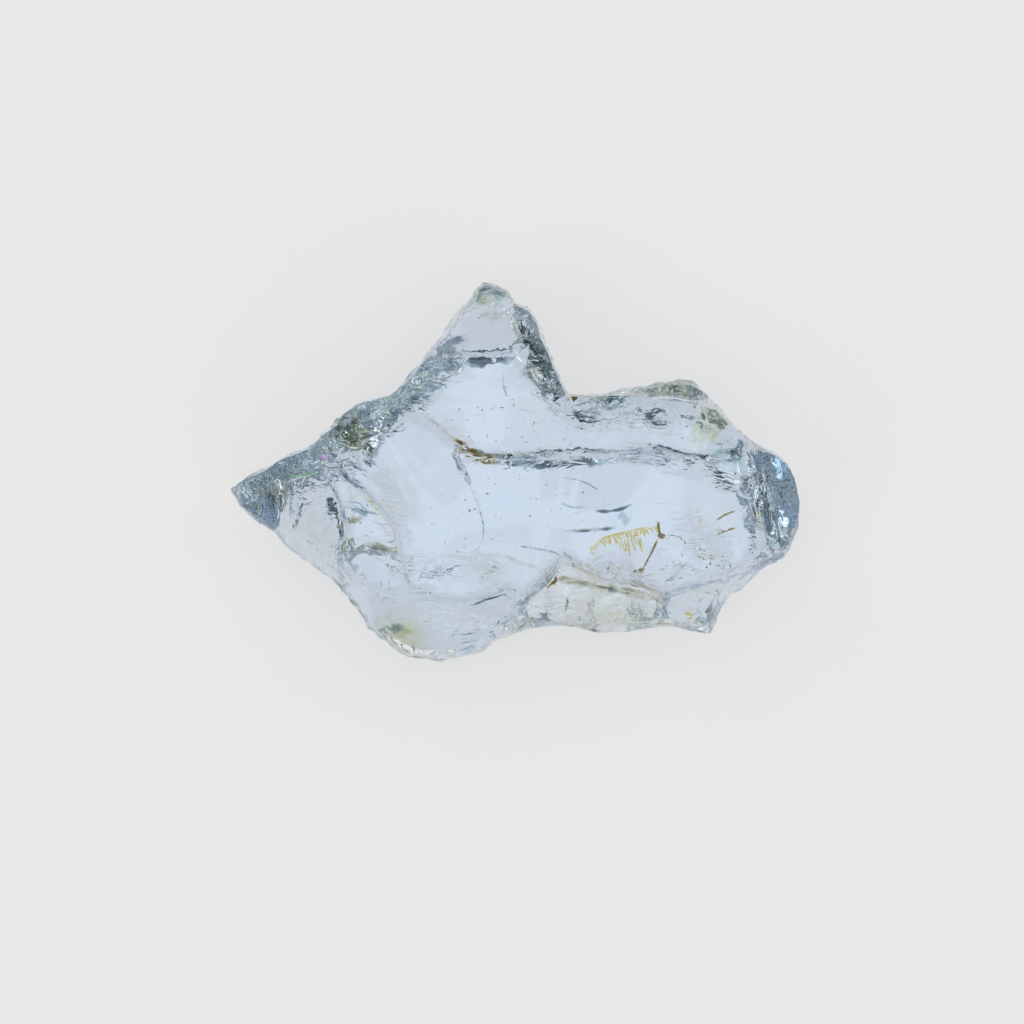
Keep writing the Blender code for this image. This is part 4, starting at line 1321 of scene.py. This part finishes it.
def buildGlints(skin):
    draw, tilt = random.Random(glints["seed"]), math.radians(glints["tilt"])
    for kind, colour in glintColours.items():
        mesh = bmesh.new()
        for shade, count, height, length, width, turn, loose, spread, line in glintRows:
            if shade != kind:
                continue
            for stroke in strokes(draw, count, length, (turn, loose, spread), line):
                lean = Vector((draw.gauss(0.0, tilt), draw.gauss(0.0, tilt), 0.0))
                addSliver(mesh, skin, height, width, stroke, lean)
        finishPiece("glints_" + kind, mesh, glintMaterial("glint_" + kind, colour), smooth=False)


specks = {
    "seed": 7,
    "ironSize": 0.022,
    "bubbleSize": 0.026,
    "sizes": (0.5, 1.3),  # smallest and largest, as shares of those sizes
    "long": (0.6, 2.0),
    "wide": (0.5, 0.9),
    "thick": 0.3,
    "rust": (0.30, 0.21, 0.07, 1.0),
    "darkRust": (0.10, 0.07, 0.02, 1.0),
    "rustGrain": 4000.0,
    "roughGrain": 20000.0,
}

# Where specks gather: how many, reach, height range, then the line they lie along.
ironGroups = (
    (70, 1.3, (3.3, 3.8), ((-1.2, 1.8), (0.4, 1.6), (2.4, 1.2))),
    (50, 1.2, (2.8, 3.9), ((-2.0, -0.5), (0.2, -1.2), (2.2, -0.4))),
    (34, 0.35, (2.4, 3.0), ((1.6, -2.5), (2.6, -2.75), (3.6, -3.0))),
    (26, 0.5, (3.0, 3.6), ((5.0, -2.5), (5.8, -2.4), (6.1, -2.6))),
    (26, 0.6, (2.6, 3.6), ((4.4, -2.2), (5.2, -3.0), (5.0, -3.6))),
    (24, 0.4, (3.2, 3.6), ((4.2, 0.9), (5.2, 0.8), (5.6, 0.4))),
    (24, 0.5, (2.6, 3.2), ((-4.2, -0.8), (-4.0, -1.8), (-4.4, -2.6))),
    (30, 0.9, (2.4, 3.2), ((-3.2, -2.2), (-1.6, -2.6), (-0.2, -2.4))),
)
bubbleGroups = (
    (230, 0.42, (2.6, 3.6), ((-5.2, 0.35), (-4.2, 1.3), (-3.1, 1.75), (-2.3, 2.5), (-1.9, 3.2))),
    (40, 0.30, (2.3, 2.8), ((-6.8, -0.5), (-6.0, -0.1), (-5.4, 0.2))),
    (70, 0.30, (2.8, 3.3), ((0.1, 3.9), (0.5, 3.2), (0.8, 2.5))),
    (50, 0.30, (2.2, 2.7), ((-1.5, 3.9), (-0.8, 4.3), (-0.2, 4.2))),
    (60, 0.35, (2.6, 3.5), ((6.4, 0.3), (6.8, -0.7), (6.6, -1.9))),
    (40, 0.30, (3.2, 3.7), ((1.6, 1.6), (2.6, 1.6), (4.0, 1.3))),
    (40, 0.25, (1.6, 2.2), ((0.0, -4.0), (0.3, -3.5), (0.9, -2.9))),
    (36, 0.30, (1.8, 2.4), ((4.6, -4.0), (5.1, -3.9), (5.2, -3.6))),
)


def scatter(draw, group):
    count, reach, (low, high), line = group
    path = curveThrough(line, 0.05)
    for _ in range(count):
        spot = draw.choice(path)
        x = spot.x + draw.gauss(0.0, reach / 2.0)
        y = spot.y + draw.gauss(0.0, reach / 2.0)
        yield Vector((x, y, draw.uniform(low, high)))


# One small flattened grain, turned at random
def addGrain(mesh, centre, size, draw, flip):
    made = bmesh.ops.create_icosphere(mesh, subdivisions=1, radius=1.0)["verts"]
    turn = Vector((draw.gauss(0, 0.5), draw.gauss(0, 0.5), 1.0)).to_track_quat("Z", "Y")
    long, wide = draw.uniform(*specks["long"]), draw.uniform(*specks["wide"])
    shape = Vector((size * long, size * wide, size * specks["thick"]))
    spin = draw.uniform(0.0, 6.3)
    for vertex in made:
        x, y, z = (vertex.co[k] * shape[k] for k in range(3))
        x, y = x * math.cos(spin) - y * math.sin(spin), x * math.sin(spin) + y * math.cos(spin)
        vertex.co = centre + turn @ Vector((x, y, z))
    if flip:
        faces = list({face for vertex in made for face in vertex.link_faces})
        bmesh.ops.reverse_faces(mesh, faces=faces)


def grainMaterial():
    material, tree, shader, _ = newMaterial("iron_grain")
    share = remap(tree, noiseAt(tree, objectPlace(tree), specks["rustGrain"]), 0.35, 0.65)
    rust = mixColours(tree, share, specks["darkRust"], specks["rust"])
    tree.links.new(rust, shader.inputs["Base Color"])
    fine = noiseAt(tree, objectPlace(tree), specks["roughGrain"])
    rough = remap(tree, fine, 0.3, 0.7, 0.55, 0.85)
    tree.links.new(rough, shader.inputs["Roughness"])
    return material


def buildSpecks(skin):
    draw = random.Random(specks["seed"])
    for name, groups, size, material in (
        ("iron_specks", ironGroups, specks["ironSize"], grainMaterial()),
        ("bubbles", bubbleGroups, specks["bubbleSize"], bpy.data.materials["open_crack"]),
    ):
        mesh = bmesh.new()
        for group in groups:
            for spot in scatter(draw, group):
                if insideStone(spot, skin):
                    grain = size * draw.uniform(*specks["sizes"])
                    addGrain(mesh, spot, grain, draw, name == "bubbles")
        finishPiece(name, mesh, material)


studio = {
    "floorRadius": 0.5,
    "floorColour": (0.36, 0.36, 0.36, 1.0),
    "floorGlow": 0.565,  # the pale table is lit from below as well
    "air": 0.45,
    "roomGrain": 3.2,  # soft light and dark parts of the room
    "roomDark": (0.43, 0.42, 0.33, 1.0),
    "roomLight": (1.90, 1.74, 1.32, 1.0),
    "lampPower": 0.11,
    "lampHeight": 50.0,
    "overheadPower": 0.26,
    "overheadColour": (0.72, 0.90, 1.18),
    "overheadHeight": 89.9,
    "overheadDistance": 0.6,
    "floorTint": (0.975, 0.99, 1.03, 1.0),
    "floorGap": 0.01,  # the table lies this far below the resting face
    "lamps": 4,
    "lampFrom": 35.0,  # degrees round the stone to the first side lamp
    "lampDistance": 0.45,
    "lampSize": 0.26,  # the lamp overhead has the same size
}

camera = {
    "lens": 200.0,
    "sensor": 36.0,
    "pxPerMm": 37.8,
    "frame": 1024,
    "rimHeight": 1.7,  # the scale is right at this height
    "centre": (-0.06, -0.99),
    "nearClip": 0.001,
}

bounces = {"all": 14, "transmission": 14, "glossy": 8}


def buildFloor():
    mesh = bmesh.new()
    bmesh.ops.create_circle(mesh, cap_ends=True, radius=studio["floorRadius"], segments=96)
    data = bpy.data.meshes.new("floor")
    mesh.to_mesh(data)
    mesh.free()
    floor = bpy.data.objects.new("floor", data)
    floor.location.z = -studio["floorGap"] * mm
    bpy.context.scene.collection.objects.link(floor)
    material, _, shader, _ = newMaterial("pale_table")
    shader.inputs["Base Color"].default_value = studio["floorColour"]
    shader.inputs["Roughness"].default_value = 0.9
    shader.inputs["Specular IOR Level"].default_value = 0.1
    shader.inputs["Emission Color"].default_value = studio["floorTint"]
    shader.inputs["Emission Strength"].default_value = studio["floorGlow"]
    data.materials.append(material)
    print("table placed")


def addLamp(name, azimuth, height, distance, size, power):
    lamp = bpy.data.lights.new(name, "AREA")
    lamp.shape = "DISK"
    lamp.size = size
    lamp.energy = power
    holder = bpy.data.objects.new(name, lamp)
    turn, lift = math.radians(azimuth), math.radians(height)
    level = math.cos(lift)
    out = Vector((level * math.cos(turn), level * math.sin(turn), math.sin(lift)))
    holder.location = out * distance
    holder.rotation_euler = (-out).to_track_quat("-Z", "Y").to_euler()
    bpy.context.scene.collection.objects.link(holder)
    return lamp


def lightStudio():
    world = bpy.data.worlds.new("studio")
    world.use_nodes = True
    background = world.node_tree.nodes["Background"]
    tree = world.node_tree
    way = tree.nodes.new("ShaderNodeTexCoord").outputs["Generated"]
    room = noiseAt(tree, way, studio["roomGrain"], 2.0)
    share = remap(tree, room, 0.40, 0.60)
    colour = mixColours(tree, share, studio["roomDark"], studio["roomLight"])
    tree.links.new(colour, background.inputs["Color"])
    background.inputs["Strength"].default_value = studio["air"]
    bpy.context.scene.world = world
    height, distance, size = studio["lampHeight"], studio["lampDistance"], studio["lampSize"]
    for index in range(studio["lamps"]):
        turn = studio["lampFrom"] + 360.0 / studio["lamps"] * index
        name = "side_lamp_" + str(index + 1)
        addLamp(name, turn, height, distance, size, studio["lampPower"])
    height, distance = studio["overheadHeight"], studio["overheadDistance"]
    overhead = addLamp("overhead_lamp", 0.0, height, distance, size, studio["overheadPower"])
    overhead.color = studio["overheadColour"]
    print("studio lit")


def placeCamera():
    lens = bpy.data.cameras.new("camera")
    lens.lens = camera["lens"]
    lens.sensor_width = camera["sensor"]
    lens.clip_start = camera["nearClip"]
    holder = bpy.data.objects.new("camera", lens)
    frameWidth = camera["frame"] / camera["pxPerMm"]
    away = frameWidth * camera["lens"] / camera["sensor"]
    x, y = camera["centre"]
    holder.location = (x * mm, y * mm, (away + camera["rimHeight"]) * mm)
    bpy.context.scene.collection.objects.link(holder)
    bpy.context.scene.camera = holder


def setSight():
    scene = bpy.context.scene
    scene.view_settings.view_transform = "Standard"
    scene.cycles.max_bounces = bounces["all"]
    scene.cycles.transmission_bounces = bounces["transmission"]
    scene.cycles.glossy_bounces = bounces["glossy"]
    print("camera and light paths set")


skin = skinTree(buildStone())
buildCracks(skin)
buildFilms(skin)
buildGlints(skin)
buildSpecks(skin)
buildFloor()
lightStudio()
placeCamera()
setSight()
